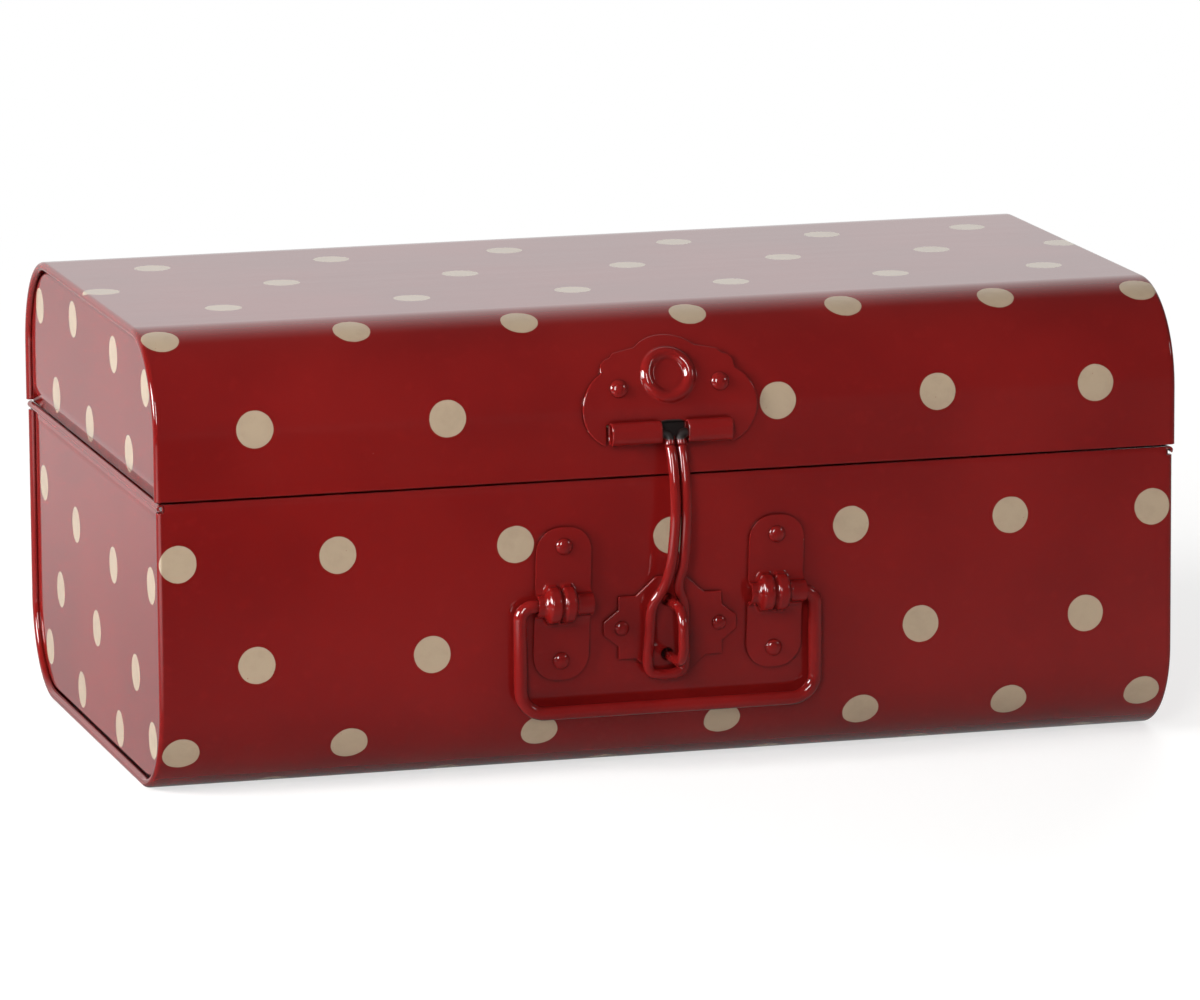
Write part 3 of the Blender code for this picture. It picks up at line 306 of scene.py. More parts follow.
# %% Lamps
# Each row is the lamp's name, place, size and power, and whether it leaves a reflection. A power of about
# ten times the distance squared lights a facing surface at full level.
SOFT_BOXES = (
    ("left_soft_box", (-1.30, -0.30, 0.55), (0.50, 0.50), 27.0, True),
    ("front_soft_box", (-0.95, -2.1, 1.05), (0.45, 1.00), 28.0, True),
    ("right_soft_box", (1.7, -1.3, 1.1), (0.45, 0.45), 4.0, True),
    ("rear_soft_box", (0.9, 1.9, 1.3), (1.0, 1.0), 30.0, False),
)
LIT_PLACE = Vector((0, 0, 0.05))


def make_soft_box(name, place, size, power, mirrored):
    """A rectangular lamp that faces the suitcase."""
    data = bpy.data.lights.new(name, "AREA")
    data.shape, data.size, data.size_y, data.energy = "RECTANGLE", *size, power
    made = bpy.data.objects.new(name, data)
    made.location = place
    made.rotation_euler = (LIT_PLACE - Vector(place)).to_track_quat("-Z", "Y").to_euler()
    made.visible_glossy = mirrored
    bpy.context.scene.collection.objects.link(made)


for box in SOFT_BOXES:
    make_soft_box(*box)
view = bpy.context.scene.view_settings
view.view_transform = "Standard"
print("lamps:", len(SOFT_BOXES))

# %% [markdown]
# ## The paint
# The real finish is a glossy alkyd enamel, sprayed or dipped over tin-plated sheet. To the eye it is a deep
# red with a clear, sharp gloss, a faint ripple called orange peel, slow changes of tone where it was laid on
# thicker, and a few pale chips down to the primer. The mill's rollers left long, shallow marks in the sheet,
# which show through as soft streaks. Painted shade darkens the coat in the joints and in the slot between
# the hasp's barrels. The cream dots were printed on the flat sheet before it was bent, so they follow the
# sheet round every corner. Nodes build all of this from real distances, because then each scale can be
# checked: metres of the object are divided by the size of one ripple or one chip. The finest of them is
# about a millimetre, which the render still shows, so none is drawn coarser than it is.

# %% Paint values
ENAMEL_RED = linear("#761412")
DEEP_RED = linear("#6B100F")
BRIGHT_RED = linear("#801917")
DOT_CREAM = linear("#A8957E")
WORN_CREAM = linear("#9E8B76")
PRIMER = linear("#C9B7AB")
# A near black for the painted shade in the joints and in the hasp's slot.
PAINTED_SHADE_DARK = linear("#170806")
ENAMEL_IOR = 1.5
# The last roughness is added where the hasp's slot is darkened as painted shade.
GLOSS, DULL, DOT_DULL, CHIP_DULL, SLOT_SHADE_DULL = 0.035, 0.09, 0.06, 0.35, 0.5
FADE_OUT = {"To Min": 1.0, "To Max": 0.0}

# %% The red coat
TONE_SIZE, CLOUD_SIZE, HAZE_SIZE = 0.055, 0.004, 0.018
THICK_COAT = {"From Min": 0.35, "From Max": 0.7}
THIN_COAT = {"From Min": 0.55, "From Max": 0.8, "To Max": 0.25}
HAZE = {"From Min": 0.3, "From Max": 0.75, "To Min": GLOSS, "To Max": DULL}


def red_coat(tree, place):
    """The red of the sprayed coat with its slow changes of tone, and its roughness with a little haze."""
    slow = node(tree, "ShaderNodeTexNoise", inputs={"Vector": place, "Scale": 1 / TONE_SIZE, "Detail": 3.0})
    thick = node(tree, "ShaderNodeMapRange", SMOOTH, {"Value": slow, **THICK_COAT})
    red = node(tree, "ShaderNodeMix", COLOURS, {"Factor": thick, FROM: DEEP_RED, TO: ENAMEL_RED})
    fine = node(tree, "ShaderNodeTexNoise", inputs={"Vector": place, "Scale": 1 / CLOUD_SIZE})
    thin = node(tree, "ShaderNodeMapRange", SMOOTH, {"Value": fine, **THIN_COAT})
    red = node(tree, "ShaderNodeMix", COLOURS, {"Factor": thin, FROM: red, TO: BRIGHT_RED})
    cloudy = node(tree, "ShaderNodeTexNoise", inputs={
        "Vector": place, "Scale": 1 / HAZE_SIZE, "Detail": 3.0, "Roughness": 0.6,
    })
    return red, node(tree, "ShaderNodeMapRange", SMOOTH, {"Value": cloudy, **HAZE})


# %% The printed dots
DOT_EDGE, DOT_WOBBLE, WOBBLE_SIZE, MOTTLE_SIZE, PINHOLE_SIZE = 0.10, 0.25, 0.003, 0.006, 0.0011
DOT_RIM = {"From Min": -DOT_WOBBLE / 2 - DOT_EDGE, "From Max": -DOT_WOBBLE / 2 + DOT_EDGE}
DOT_WEAR = {"From Min": 0.42, "From Max": 0.72, "To Max": 0.6}
PINHOLES = {"From Min": 0.76, "From Max": 0.80, "To Max": 0.5}


def dot_print(tree, place, colour, rough):
    """Cream dots over the red. Each point knows its place on the sheet, and each face its nearest dot."""
    sheet = node(tree, "ShaderNodeAttribute", {"attribute_name": "sheet_mm"}).outputs["Vector"]
    centre = node(tree, "ShaderNodeAttribute", {"attribute_name": "dot_mm"}).outputs["Vector"]
    across = node(tree, "ShaderNodeVectorMath", SUBTRACT, {0: sheet, 1: centre})
    parts = node(tree, "ShaderNodeSeparateXYZ", inputs={0: across}).outputs
    flat = node(tree, "ShaderNodeCombineXYZ", inputs={"X": parts["X"], "Y": parts["Y"]})
    away = node(tree, "ShaderNodeVectorMath", LENGTH, {0: flat})
    radius = node(tree, "ShaderNodeSeparateXYZ", inputs={0: centre}).outputs["Z"]
    wobble = node(tree, "ShaderNodeTexNoise", inputs={"Vector": place, "Scale": 1 / WOBBLE_SIZE})
    ragged = node(tree, "ShaderNodeMath", MULTIPLY_ADD, {0: wobble, 1: DOT_WOBBLE, 2: away})
    within = node(tree, "ShaderNodeMath", SUBTRACT, {0: radius, 1: ragged})
    dot = node(tree, "ShaderNodeMapRange", SMOOTH, {"Value": within, **DOT_RIM})
    mottle = node(tree, "ShaderNodeTexNoise", inputs={
        "Vector": place, "Scale": 1 / MOTTLE_SIZE, "Detail": 4.0, "Roughness": 0.65,
    })
    worn = node(tree, "ShaderNodeMapRange", SMOOTH, {"Value": mottle, **DOT_WEAR})
    cream = node(tree, "ShaderNodeMix", COLOURS, {"Factor": worn, FROM: DOT_CREAM, TO: WORN_CREAM})
    specks = node(tree, "ShaderNodeTexNoise", inputs={"Vector": place, "Scale": 1 / PINHOLE_SIZE})
    pinhole = node(tree, "ShaderNodeMapRange", SMOOTH, {"Value": specks, **PINHOLES})
    cream = node(tree, "ShaderNodeMix", COLOURS, {"Factor": pinhole, FROM: cream, TO: ENAMEL_RED})
    colour = node(tree, "ShaderNodeMix", COLOURS, {"Factor": dot, FROM: colour, TO: cream})
    return colour, node(tree, "ShaderNodeMath", MULTIPLY_ADD, {0: dot, 1: DOT_DULL, 2: rough})


# %% Chips and worn edges
CHIP_CELL, CHIP_SIZE, CHIPLESS_SHARE = 0.026, 0.00032, 0.6
RAGGED_SCALE, RAGGED_SIZE = 1400.0, 0.0012
WEAR_SIZE, WORN_PLACES = 0.0025, 0.007
CHIP_RIM = {"From Min": CHIP_SIZE / CHIP_CELL, "From Max": 2 * CHIP_SIZE / CHIP_CELL, **FADE_OUT}
WORN_RIM = {"From Min": 0.38, "From Max": 0.46, **FADE_OUT}
WORN_STRETCH = {"From Min": 0.64, "From Max": 0.70}


def chips_in(tree, place, fitting):
    """Where the paint is gone: a few small chips, and on fittings some stretches of their edges."""
    grain = node(tree, "ShaderNodeTexNoise", inputs={"Vector": place, "Scale": RAGGED_SCALE})
    shifted = node(tree, "ShaderNodeVectorMath", MULTIPLY_ADD, {
        0: grain.outputs["Color"], 1: (RAGGED_SIZE, RAGGED_SIZE, RAGGED_SIZE), 2: place,
    })
    cell = node(tree, "ShaderNodeTexVoronoi", inputs={"Vector": shifted, "Scale": 1 / CHIP_CELL}).outputs
    lot = node(tree, "ShaderNodeSeparateColor", inputs={"Color": cell["Color"]}).outputs["Red"]
    chosen = node(tree, "ShaderNodeMath", GREATER, {0: lot, 1: CHIPLESS_SHARE})
    near = node(tree, "ShaderNodeMapRange", SMOOTH, {"Value": cell["Distance"], **CHIP_RIM})
    chips = node(tree, "ShaderNodeMath", MULTIPLY, {0: near, 1: chosen})
    if not fitting:
        return chips
    edge = node(tree, "ShaderNodeAttribute", {"attribute_name": "edge_mm"}).outputs["Fac"]
    torn = node(tree, "ShaderNodeTexNoise", inputs={
        "Vector": place, "Scale": 1 / WEAR_SIZE, "Detail": 3.0, "Roughness": 0.7,
    })
    off_edge = node(tree, "ShaderNodeMath", ADD, {0: edge, 1: torn})
    rim = node(tree, "ShaderNodeMapRange", SMOOTH, {"Value": off_edge, **WORN_RIM})
    patches = node(tree, "ShaderNodeTexNoise", inputs={
        "Vector": place, "Scale": 1 / WORN_PLACES, "Detail": 3.0,
    })
    stretch = node(tree, "ShaderNodeMapRange", SMOOTH, {"Value": patches, **WORN_STRETCH})
    worn = node(tree, "ShaderNodeMath", MULTIPLY, {0: rim, 1: stretch})
    return node(tree, "ShaderNodeMath", MAXIMUM, {0: chips, 1: worn})


# %% Painted shade in the hasp's slot
# Where the slot lies and how far its painted shade reaches.
SLOT_PLACE, SLOT_REACH = (-0.00075, -0.0880, 0.0966), (0.0040, 0.0120, 0.0026)
SLOT_RIM = {"From Min": 0.7, "From Max": 1.15, **FADE_OUT}
LEAST_DOT_MM = 1.0


def painted_slot_shade(tree, place, dotted):
    """Painted shade in the narrow slot between the hasp's barrels: how far inside it a point lies, to darken
    its colour there. On a dotted sheet only the outside is darkened, and that is where the faces know a dot."""
    box = node(tree, "ShaderNodeMapping", {"vector_type": "TEXTURE"}, {
        "Vector": place, "Location": SLOT_PLACE, "Scale": SLOT_REACH,
    })
    square = node(tree, "ShaderNodeVectorMath", MULTIPLY, {0: box, 1: box})
    away = node(tree, "ShaderNodeVectorMath", LENGTH, {0: square})
    slot_shade = node(tree, "ShaderNodeMapRange", SMOOTH, {"Value": away, **SLOT_RIM})
    if not dotted:
        return slot_shade
    centre = node(tree, "ShaderNodeAttribute", {"attribute_name": "dot_mm"}).outputs["Vector"]
    radius = node(tree, "ShaderNodeSeparateXYZ", inputs={0: centre}).outputs["Z"]
    outside = node(tree, "ShaderNodeMath", GREATER, {0: radius, 1: LEAST_DOT_MM})
    return node(tree, "ShaderNodeMath", MULTIPLY, {0: slot_shade, 1: outside})


# %% Painted shade in the joints
# Painted shade: where nearby surfaces close a point in, its colour is darkened towards near black.
CREVICE_REACH, CREVICE_SHARE, CREVICE_RAYS = 0.0016, 0.6, 6
CREVICE = {"From Min": 0.35, "From Max": 0.95, "To Min": CREVICE_SHARE, "To Max": 0.0}


def painted_crevice_shade(tree):
    """Painted shade: how much the surfaces round a point close it in, for darkening its colour as shade
    would.
    """
    around = node(tree, "ShaderNodeAmbientOcclusion", {"samples": CREVICE_RAYS}, {"Distance": CREVICE_REACH})
    return node(tree, "ShaderNodeMapRange", SMOOTH, {"Value": around.outputs["AO"], **CREVICE})


# %% The coat's relief
PEEL_SIZE, WAVE_SIZE, PEEL_SHARE = 0.0016, 0.02, 0.35
ROLL_LENGTH, ROLL_WIDTH, ROLL_SHARE = 0.16, 0.007, 0.9
RELIEF, BUMP_SHARE, CHIP_DEPTH = 0.00004, 0.5, -1.5


def coat_relief(tree, place, chips):
    """The coat's long waves and orange peel, the roll marks along the sheet, and the chips' hollows."""
    peel = node(tree, "ShaderNodeTexNoise", inputs={"Vector": place, "Scale": 1 / PEEL_SIZE, "Detail": 1.0})
    waves = node(tree, "ShaderNodeTexNoise", inputs={"Vector": place, "Scale": 1 / WAVE_SIZE, "Detail": 1.0})
    coat = node(tree, "ShaderNodeMath", MULTIPLY_ADD, {0: peel, 1: PEEL_SHARE, 2: waves})
    along = node(tree, "ShaderNodeMapping", inputs={
        "Vector": place, "Scale": (1 / ROLL_LENGTH, 1 / ROLL_WIDTH, 1 / ROLL_WIDTH),
    })
    rolled = node(tree, "ShaderNodeTexNoise", inputs={"Vector": along, "Scale": 1.0, "Detail": 3.0})
    coat = node(tree, "ShaderNodeMath", MULTIPLY_ADD, {0: rolled, 1: ROLL_SHARE, 2: coat})
    height = node(tree, "ShaderNodeMath", MULTIPLY_ADD, {0: chips, 1: CHIP_DEPTH, 2: coat})
    return node(tree, "ShaderNodeBump", inputs={"Strength": BUMP_SHARE, "Distance": RELIEF, "Height": height})


# %% Enamel


def enamel(name, dotted=False, fitting=False):
    """Glossy red enamel. A dotted sheet reads its dots' places, and a fitting is chipped at its edges."""
    made, tree = new_material(name)
    place = node(tree, "ShaderNodeTexCoord").outputs["Object"]
    colour, rough = red_coat(tree, place)
    if dotted:
        colour, rough = dot_print(tree, place, colour, rough)
    chips = chips_in(tree, place, fitting)
    colour = node(tree, "ShaderNodeMix", COLOURS, {"Factor": chips, FROM: colour, TO: PRIMER})
    rough = node(tree, "ShaderNodeMath", MULTIPLY_ADD, {0: chips, 1: CHIP_DULL, 2: rough})
    # Painted shade where the surface is closed in by others.
    crevice = painted_crevice_shade(tree)
    colour = node(tree, "ShaderNodeMix", COLOURS, {"Factor": crevice, FROM: colour, TO: PAINTED_SHADE_DARK})
    # Painted shade in the hasp's slot, with a duller gloss there.
    slot_shade = painted_slot_shade(tree, place, dotted)
    colour = node(tree, "ShaderNodeMix", COLOURS, {"Factor": slot_shade, FROM: colour, TO: PAINTED_SHADE_DARK})
    rough = node(tree, "ShaderNodeMath", MULTIPLY_ADD, {0: slot_shade, 1: SLOT_SHADE_DULL, 2: rough})
    relief = coat_relief(tree, place, chips)
    shader = node(tree, "ShaderNodeBsdfPrincipled", inputs={
        "Base Color": colour, "Roughness": rough, "IOR": ENAMEL_IOR, "Normal": relief,
    })
    node(tree, "ShaderNodeOutputMaterial", inputs={"Surface": shader})
    return made


DOTTED_ENAMEL = enamel("dotted_red_enamel", dotted=True)
FITTING_ENAMEL = enamel("fitting_red_enamel", fitting=True)
PLAIN_ENAMEL = enamel("plain_red_enamel")
print("paints:", [m.name for m in (DOTTED_ENAMEL, FITTING_ENAMEL, PLAIN_ENAMEL)])

# %% [markdown]
# ## The dots
# On the real sheet the dots stand in staggered rows, roughly 47 mm apart along the row and 30 mm from row to
# row, and no two gaps are quite alike. Their places were measured in millimetres: along the length from the
# left end, and up the sheet from the foot of the front. A shader can't search a list, so every face of the
# mesh is told the place of its nearest dot, and the paint only asks how far away that is.

# %% Dot places
DOT_RADIUS = 5.15
LENGTH_MM, DEPTH_MM = 290.0, 170.0
# A dot that was printed off its row has a row of its own.
CASE_ROWS = {
    66.5: (5.6, 50.1, 100.1, 144.4, 196.0, 242.3, 283.9),
    37.3: (27.1, 76.3, 174.0, 216.2, 264.4),
    41.0: (133.5,),
    12.5: (6.4, 53.5, 107.3, 159.7, 199.8, 243.1, 282.3),
}
LID_ROWS = {
    102.5: (27.4, 81.2, 128.0, 174.9, 221.0, 267.0),
    132.3: (5.3, 58.7, 106.0, 154.0, 198.8, 243.2, 285.0),
    167.3: (31.0, 84.6, 130.8, 176.8, 223.6, 269.0),
    204.3: (4.7, 56.4, 108.1, 157.1, 203.2, 247.6, 286.8),
    240.3: (27.3, 79.5, 130.6, 181.2, 225.8, 270.0),
}
ROW_STEP, DOT_STEP, ROW_STARTS, DOT_WANDER, SEED = 31.0, 46.7, (11.5, 35.0), 2.5, 7
CASE_UNSEEN, LID_UNSEEN = (-225.0, -5.0), (273.0, 318.0)
LEFT_END_LID = (
    (154.2, 113.3), (109.1, 116.6), (56.2, 115.2), (16.3, 112.5), (133.3, 90.9), (88.7, 90.2), (38.0, 90.6),
)
LEFT_END_CASE = (
    (155.6, 61.5), (112.4, 57.1), (63.5, 54.7), (15.5, 58.0), (135.0, 34.1), (87.0, 32.2), (36.9, 29.6),
    (151.4, 14.2), (108.2, 10.3), (58.9, 9.2), (16.4, 14.7),
)
wander = np.random.default_rng(SEED)


def more_rows(first, last, odd):
    """Rows of the same rule for the sides that the photograph doesn't show."""
    rows = {}
    for i, level in enumerate(np.arange(first, last, ROW_STEP)):
        places = np.arange(ROW_STARTS[(i + odd) % 2], LENGTH_MM, DOT_STEP)
        rows[float(level)] = [x + wander.uniform(-DOT_WANDER, DOT_WANDER) for x in places]
    return rows


def dot_list(rows):
    """Rows as an array of centre x, sheet length and radius, in millimetres."""
    return np.array([(x - LENGTH_MM / 2, level, DOT_RADIUS) for level, xs in rows.items() for x in xs])


def nearest_dots(centres, dots):
    """For each face centre, the row of the dot nearest to it."""
    gaps = np.linalg.norm(centres[:, None, :2] - dots[None, :, :2], axis=2)
    return dots[gaps.argmin(axis=1)]


CASE_DOTS = dot_list({**CASE_ROWS, **more_rows(*CASE_UNSEEN, 0)})
LID_DOTS = dot_list({**LID_ROWS, **more_rows(*LID_UNSEEN, 1)})
print("dots on the case:", len(CASE_DOTS), "and on the lid:", len(LID_DOTS))

# %% [markdown]
# ## The wrapped sheets
# Front, underside and back of the case are one sheet, bent over a round former, and its two ends are rolled
# into beads that stiffen it and trap the end panels. The lid is wrapped the same way over its top. A shape
# that is one cross-section moved along one path could be a curve with a bevel object. Here both are written
# as numbers, because then the bead stays a true roll round the corners and each point knows how far it lies
# along the sheet, which the dots need.

# %% Sizes of the sheets, as in the CAD model
CASE_LENGTH, CASE_DEPTH, CASE_HEIGHT, CASE_CORNER = 0.290, 0.170, 0.0832, 0.0265
LID_LOWER_EDGE, TOTAL_HEIGHT, LID_CORNER, LID_OVERHANG = 0.0838, 0.1275, 0.0275, 0.0006
SHEET, CLEARANCE, PLATE = 0.0006, 0.0003, 0.0008
RIM_RADIUS, RIM_TURN = 0.00135, radians(240)
PANEL_INSET, HEM_BEND, HEM_TURN = 0.0015, 0.00045, radians(225)
HEM_HEIGHT = 2 * (HEM_BEND + SHEET)
SEAM_HEIGHT = (CASE_HEIGHT + LID_LOWER_EDGE) / 2
CASE_FRONT, CASE_BACK = -CASE_DEPTH / 2, CASE_DEPTH / 2
LID_FRONT = CASE_FRONT - LID_OVERHANG
LID_LENGTH = CASE_LENGTH + 2 * LID_OVERHANG
LID_FLAT_TOP = TOTAL_HEIGHT - LID_CORNER
RIM_DEPTH = 2 * RIM_RADIUS + CLEARANCE
CASE_NOTCH = CASE_HEIGHT - HEM_HEIGHT - CLEARANCE
GRID, CORNER_TURNS, RIM_TURNS, SUPPORT = 0.0045, 28, 22, 0.0004
RAW_EDGE = 0.00016
# The dot of a face that has none.
NOWHERE = np.array([0.0, -9999.0, 0.0])

# %% Paths and sections


def spaced(start, end, step=GRID, support=SUPPORT):
    """Even stations from start to end, with one close to each end that keeps the flat part flat."""
    inner = np.linspace(start, end, max(2, int(abs(end - start) / step)) + 1)
    near = support * np.sign(end - start)
    return np.concatenate(([start, start + near], inner[1:-1], [end - near, end]))


def wrap_path(front, back, edge, far, corner, notch=None):
    """Stations round the box: y, z, outward y, outward z, and the length along the sheet. The sheet may
    have a notch in its rims, and then a station lies there."""
    way = 1 if far > edge else -1
    level = far - way * corner
    turns = np.linspace(0, pi / 2, CORNER_TURNS + 1)[1:-1]
    side = spaced(edge, level)
    if notch is not None:
        side = np.concatenate(([edge], spaced(notch, level)))
    rows = [(front, z, -1, 0, z) for z in side]
    for a in turns:
        out_y, out_z = cos(a), way * sin(a)
        y, z = front + corner - corner * out_y, level + corner * out_z
        rows.append((y, z, -out_y, out_z, level + way * corner * a))
    along = level + way * corner * pi / 2
    level_part = spaced(front + corner, back - corner)
    rows += [(y, far, 0, way, along + way * (y - front - corner)) for y in level_part]
    along += way * (back - front - 2 * corner)
    for a in turns:
        out_y, out_z = sin(a), way * cos(a)
        y, z = back - corner + corner * out_y, level + corner * out_z
        rows.append((y, z, out_y, out_z, along + way * corner * a))
    along += way * corner * pi / 2
    rows += [(back, z, 1, 0, along + way * abs(z - level)) for z in side[::-1]]
    return np.array(rows)


def rim_section(half_length):
    """Stations across the sheet: x, depth below the outside, normal's x and outward part."""
    middle = half_length - RIM_RADIUS
    turns = np.linspace(0, RIM_TURN, RIM_TURNS + 1)[1:]
    right = [(middle + RIM_RADIUS * sin(a), RIM_RADIUS * (1 - cos(a)), sin(a), cos(a)) for a in turns]
    flat = [(x, 0, 0, 1) for x in spaced(-middle, middle)]
    return np.array([(-x, d, -nx, no) for x, d, nx, no in reversed(right)] + flat + right)


def surface(section, path):
    """Points, normals and quads of a section of x, depth and normal carried along a path."""
    x, depth, nx, no = (section[:, i][None, :] for i in range(4))
    y, z, oy, oz = (path[:, i][:, None] for i in range(4))
    blank = np.zeros((len(path), len(section)))
    points = np.stack([x + blank, y - oy * depth, z - oz * depth], -1).reshape(-1, 3)
    normals = np.stack([nx + blank, oy * no, oz * no], -1).reshape(-1, 3)
    return points, normals, quads(len(path), len(section))


def quads(rows, columns):
    """The four-cornered faces of a grid, row by row."""
    index = np.arange(rows * columns).reshape(rows, columns)
    return np.stack([index[:-1, :-1], index[:-1, 1:], index[1:, 1:], index[1:, :-1]], -1)


# %% Closed sheets


def edge_distance(points, rim):
    """How far each point is from the nearest of the rim's points, in millimetres."""
    return np.array([np.linalg.norm(points[rim] - p, axis=1).min() for p in points]) / MM


def shell(name, outer, normals, faces, thickness, sheet=None, dots=None, worn=False):
    """A closed sheet from an open surface: a copy of it further in, and walls along its free edges. Its
    points may keep their place on the flat sheet and their distance from a raw edge, its faces their nearest
    dot."""
    count = len(outer)
    faces = [tuple(map(int, f)) for f in faces]
    points = np.concatenate([outer, outer - normals * thickness])
    edges = {}
    for face in faces:
        for a, b in zip(face, face[1:] + face[:1]):
            if (b, a) in edges:
                del edges[(b, a)]
            else:
                edges[(a, b)] = True
    walls = [(b, a, a + count, b + count) for a, b in edges]
    inner = [tuple(v + count for v in f[::-1]) for f in faces]
    marks, face_marks = {}, {}
    if sheet is not None:
        marks["sheet_mm"] = np.concatenate([sheet, sheet])
        shown = np.tile(NOWHERE, (len(faces), 1))
        if dots is not None:
            shown = nearest_dots(np.array([sheet[list(f)].mean(axis=0) for f in faces]), dots)
        face_marks["dot_mm"] = np.concatenate([shown, np.tile(NOWHERE, (len(inner) + len(walls), 1))])
    if worn:
        rim = sorted({a for a, b in edges})
        away = edge_distance(outer, rim)
        marks["edge_mm"] = np.concatenate([away, away])
    used = np.unique(np.concatenate([np.ravel(f) for f in faces + walls])).astype(int)
    used = np.union1d(used, used % count + count)
    used = np.union1d(used, used % count)
    renumber = np.full(2 * count, -1)
    renumber[used] = np.arange(len(used))
    every = [tuple(renumber[list(f)]) for f in faces + inner + walls]
    return new_mesh(name, points[used], every, {k: v[used] for k, v in marks.items()}, face_marks)


def wrapped_sheet(name, length, path, cut_above, dots):
    """The sheet along a path, with its beads. Above the given height the beads are cut away for the hem."""
    section = rim_section(length / 2)
    points, normals, grid = surface(section, path)
    along = np.repeat(path[:, 4], len(section))
    sheet = np.stack([points[:, 0], along, np.zeros(len(points))], -1) / MM
    bead = np.abs((section[1:, 0] + section[:-1, 0]) / 2) > length / 2 - RIM_DEPTH
    high = (path[1:, 1] + path[:-1, 1]) / 2 > cut_above
    keep = ~(bead[None, :] & high[:, None])
    return shell(name, points, normals, grid[keep], SHEET, sheet, dots)


# %% Case and lid sheets
case_path = wrap_path(CASE_FRONT, CASE_BACK, CASE_HEIGHT, 0.0, CASE_CORNER, CASE_NOTCH)
lid_path = wrap_path(LID_FRONT, CASE_BACK, LID_LOWER_EDGE, TOTAL_HEIGHT, LID_CORNER)
finish_piece(
    wrapped_sheet("case_sheet", CASE_LENGTH, case_path, CASE_NOTCH, CASE_DOTS),
    DOTTED_ENAMEL, "case", ["case_wrap"], RAW_EDGE,
)
finish_piece(
    wrapped_sheet("lid_sheet", LID_LENGTH, lid_path, TOTAL_HEIGHT, LID_DOTS),
    DOTTED_ENAMEL, "lid", ["lid_wrap"], RAW_EDGE,
)

# %% [markdown]
# ## The end panels
# Each end is a shallow stamped tray: a flat face, a tight bend, a short wall and a flange that the rolled
# bead holds. The upper edge of each lower panel is rolled outwards into an open hem, so that no raw edge is
# left where hands reach in. The tray's edge is the same path as the sheet's, a little further in, so the two
# can't drift apart, and the flat face is filled with small triangles that carry its dots.

# %% Filling a flat outline
# The kind of triangulation that leaves out what lies outside the loops.
WITHIN_LOOPS = 1
ROW_SHARE = 0.87


def fill(loops, inner_points):
    """Triangles between the first loop and the others, which are holes, using every point given."""
    rim = np.concatenate(loops)
    starts = np.cumsum([0] + [len(loop) for loop in loops])
    edges = []
    for start, loop in zip(starts, loops):
        edges += [(start + i, start + (i + 1) % len(loop)) for i in range(len(loop))]
    given = np.concatenate([rim, inner_points]) if len(inner_points) else rim
    found = delaunay_2d_cdt([Vector(p) for p in given], edges, [], WITHIN_LOOPS, SAME_POINT)
    source = [min(group) for group in found[3]]
    triangles = []
    for face in found[2]:
        ids = [source[v] for v in face]
        middle = given[ids].mean(axis=0)
        if not any(inside(middle, hole) for hole in loops[1:]):
            triangles.append(tuple(ids))
    return given, triangles


def inside(point, loop):
    """Whether a point of the plane lies inside a closed loop."""
    x, y = point
    ax, ay = loop[:, 0], loop[:, 1]
    bx, by = np.roll(ax, -1), np.roll(ay, -1)
    spans = (ay > y) != (by > y)
    with np.errstate(divide="ignore", invalid="ignore"):
        cross = ax + (y - ay) * (bx - ax) / (by - ay)
    return bool((spans & (x < cross)).sum() % 2)


def distance_to(points, loops):
    """Distance from each point to the nearest edge of the loops."""
    away = np.full(len(points), np.inf)
    for loop in loops:
        for a, b in zip(loop, np.roll(loop, -1, axis=0)):
            way = b - a
            share = np.clip(((points - a) @ way) / max(way @ way, 1e-18), 0, 1)
            away = np.minimum(away, np.linalg.norm(points - a - share[:, None] * way, axis=1))
    return away


def scatter(loops, low, high, step, margin):
    """Staggered points inside the loops, kept off their edges."""
    rows = np.arange(low[1], high[1], step * ROW_SHARE)
    columns = np.arange(low[0], high[0], step)
    points = [(x + (i % 2) * step / 2, y) for i, y in enumerate(rows) for x in columns]
    return kept_inside(points, loops, margin)


def kept_inside(points, loops, margin):
    """Those of the points that lie inside the first loop, outside its holes and off every edge."""
    keep = [inside(p, loops[0]) and not any(inside(p, hole) for hole in loops[1:]) for p in points]
    points = np.array(points)[keep]
    return points[distance_to(points, loops) > margin]


# %% End panels
TRAY_BEND, TRAY_TURNS, FACE_GRID = 0.0009, 8, 0.006


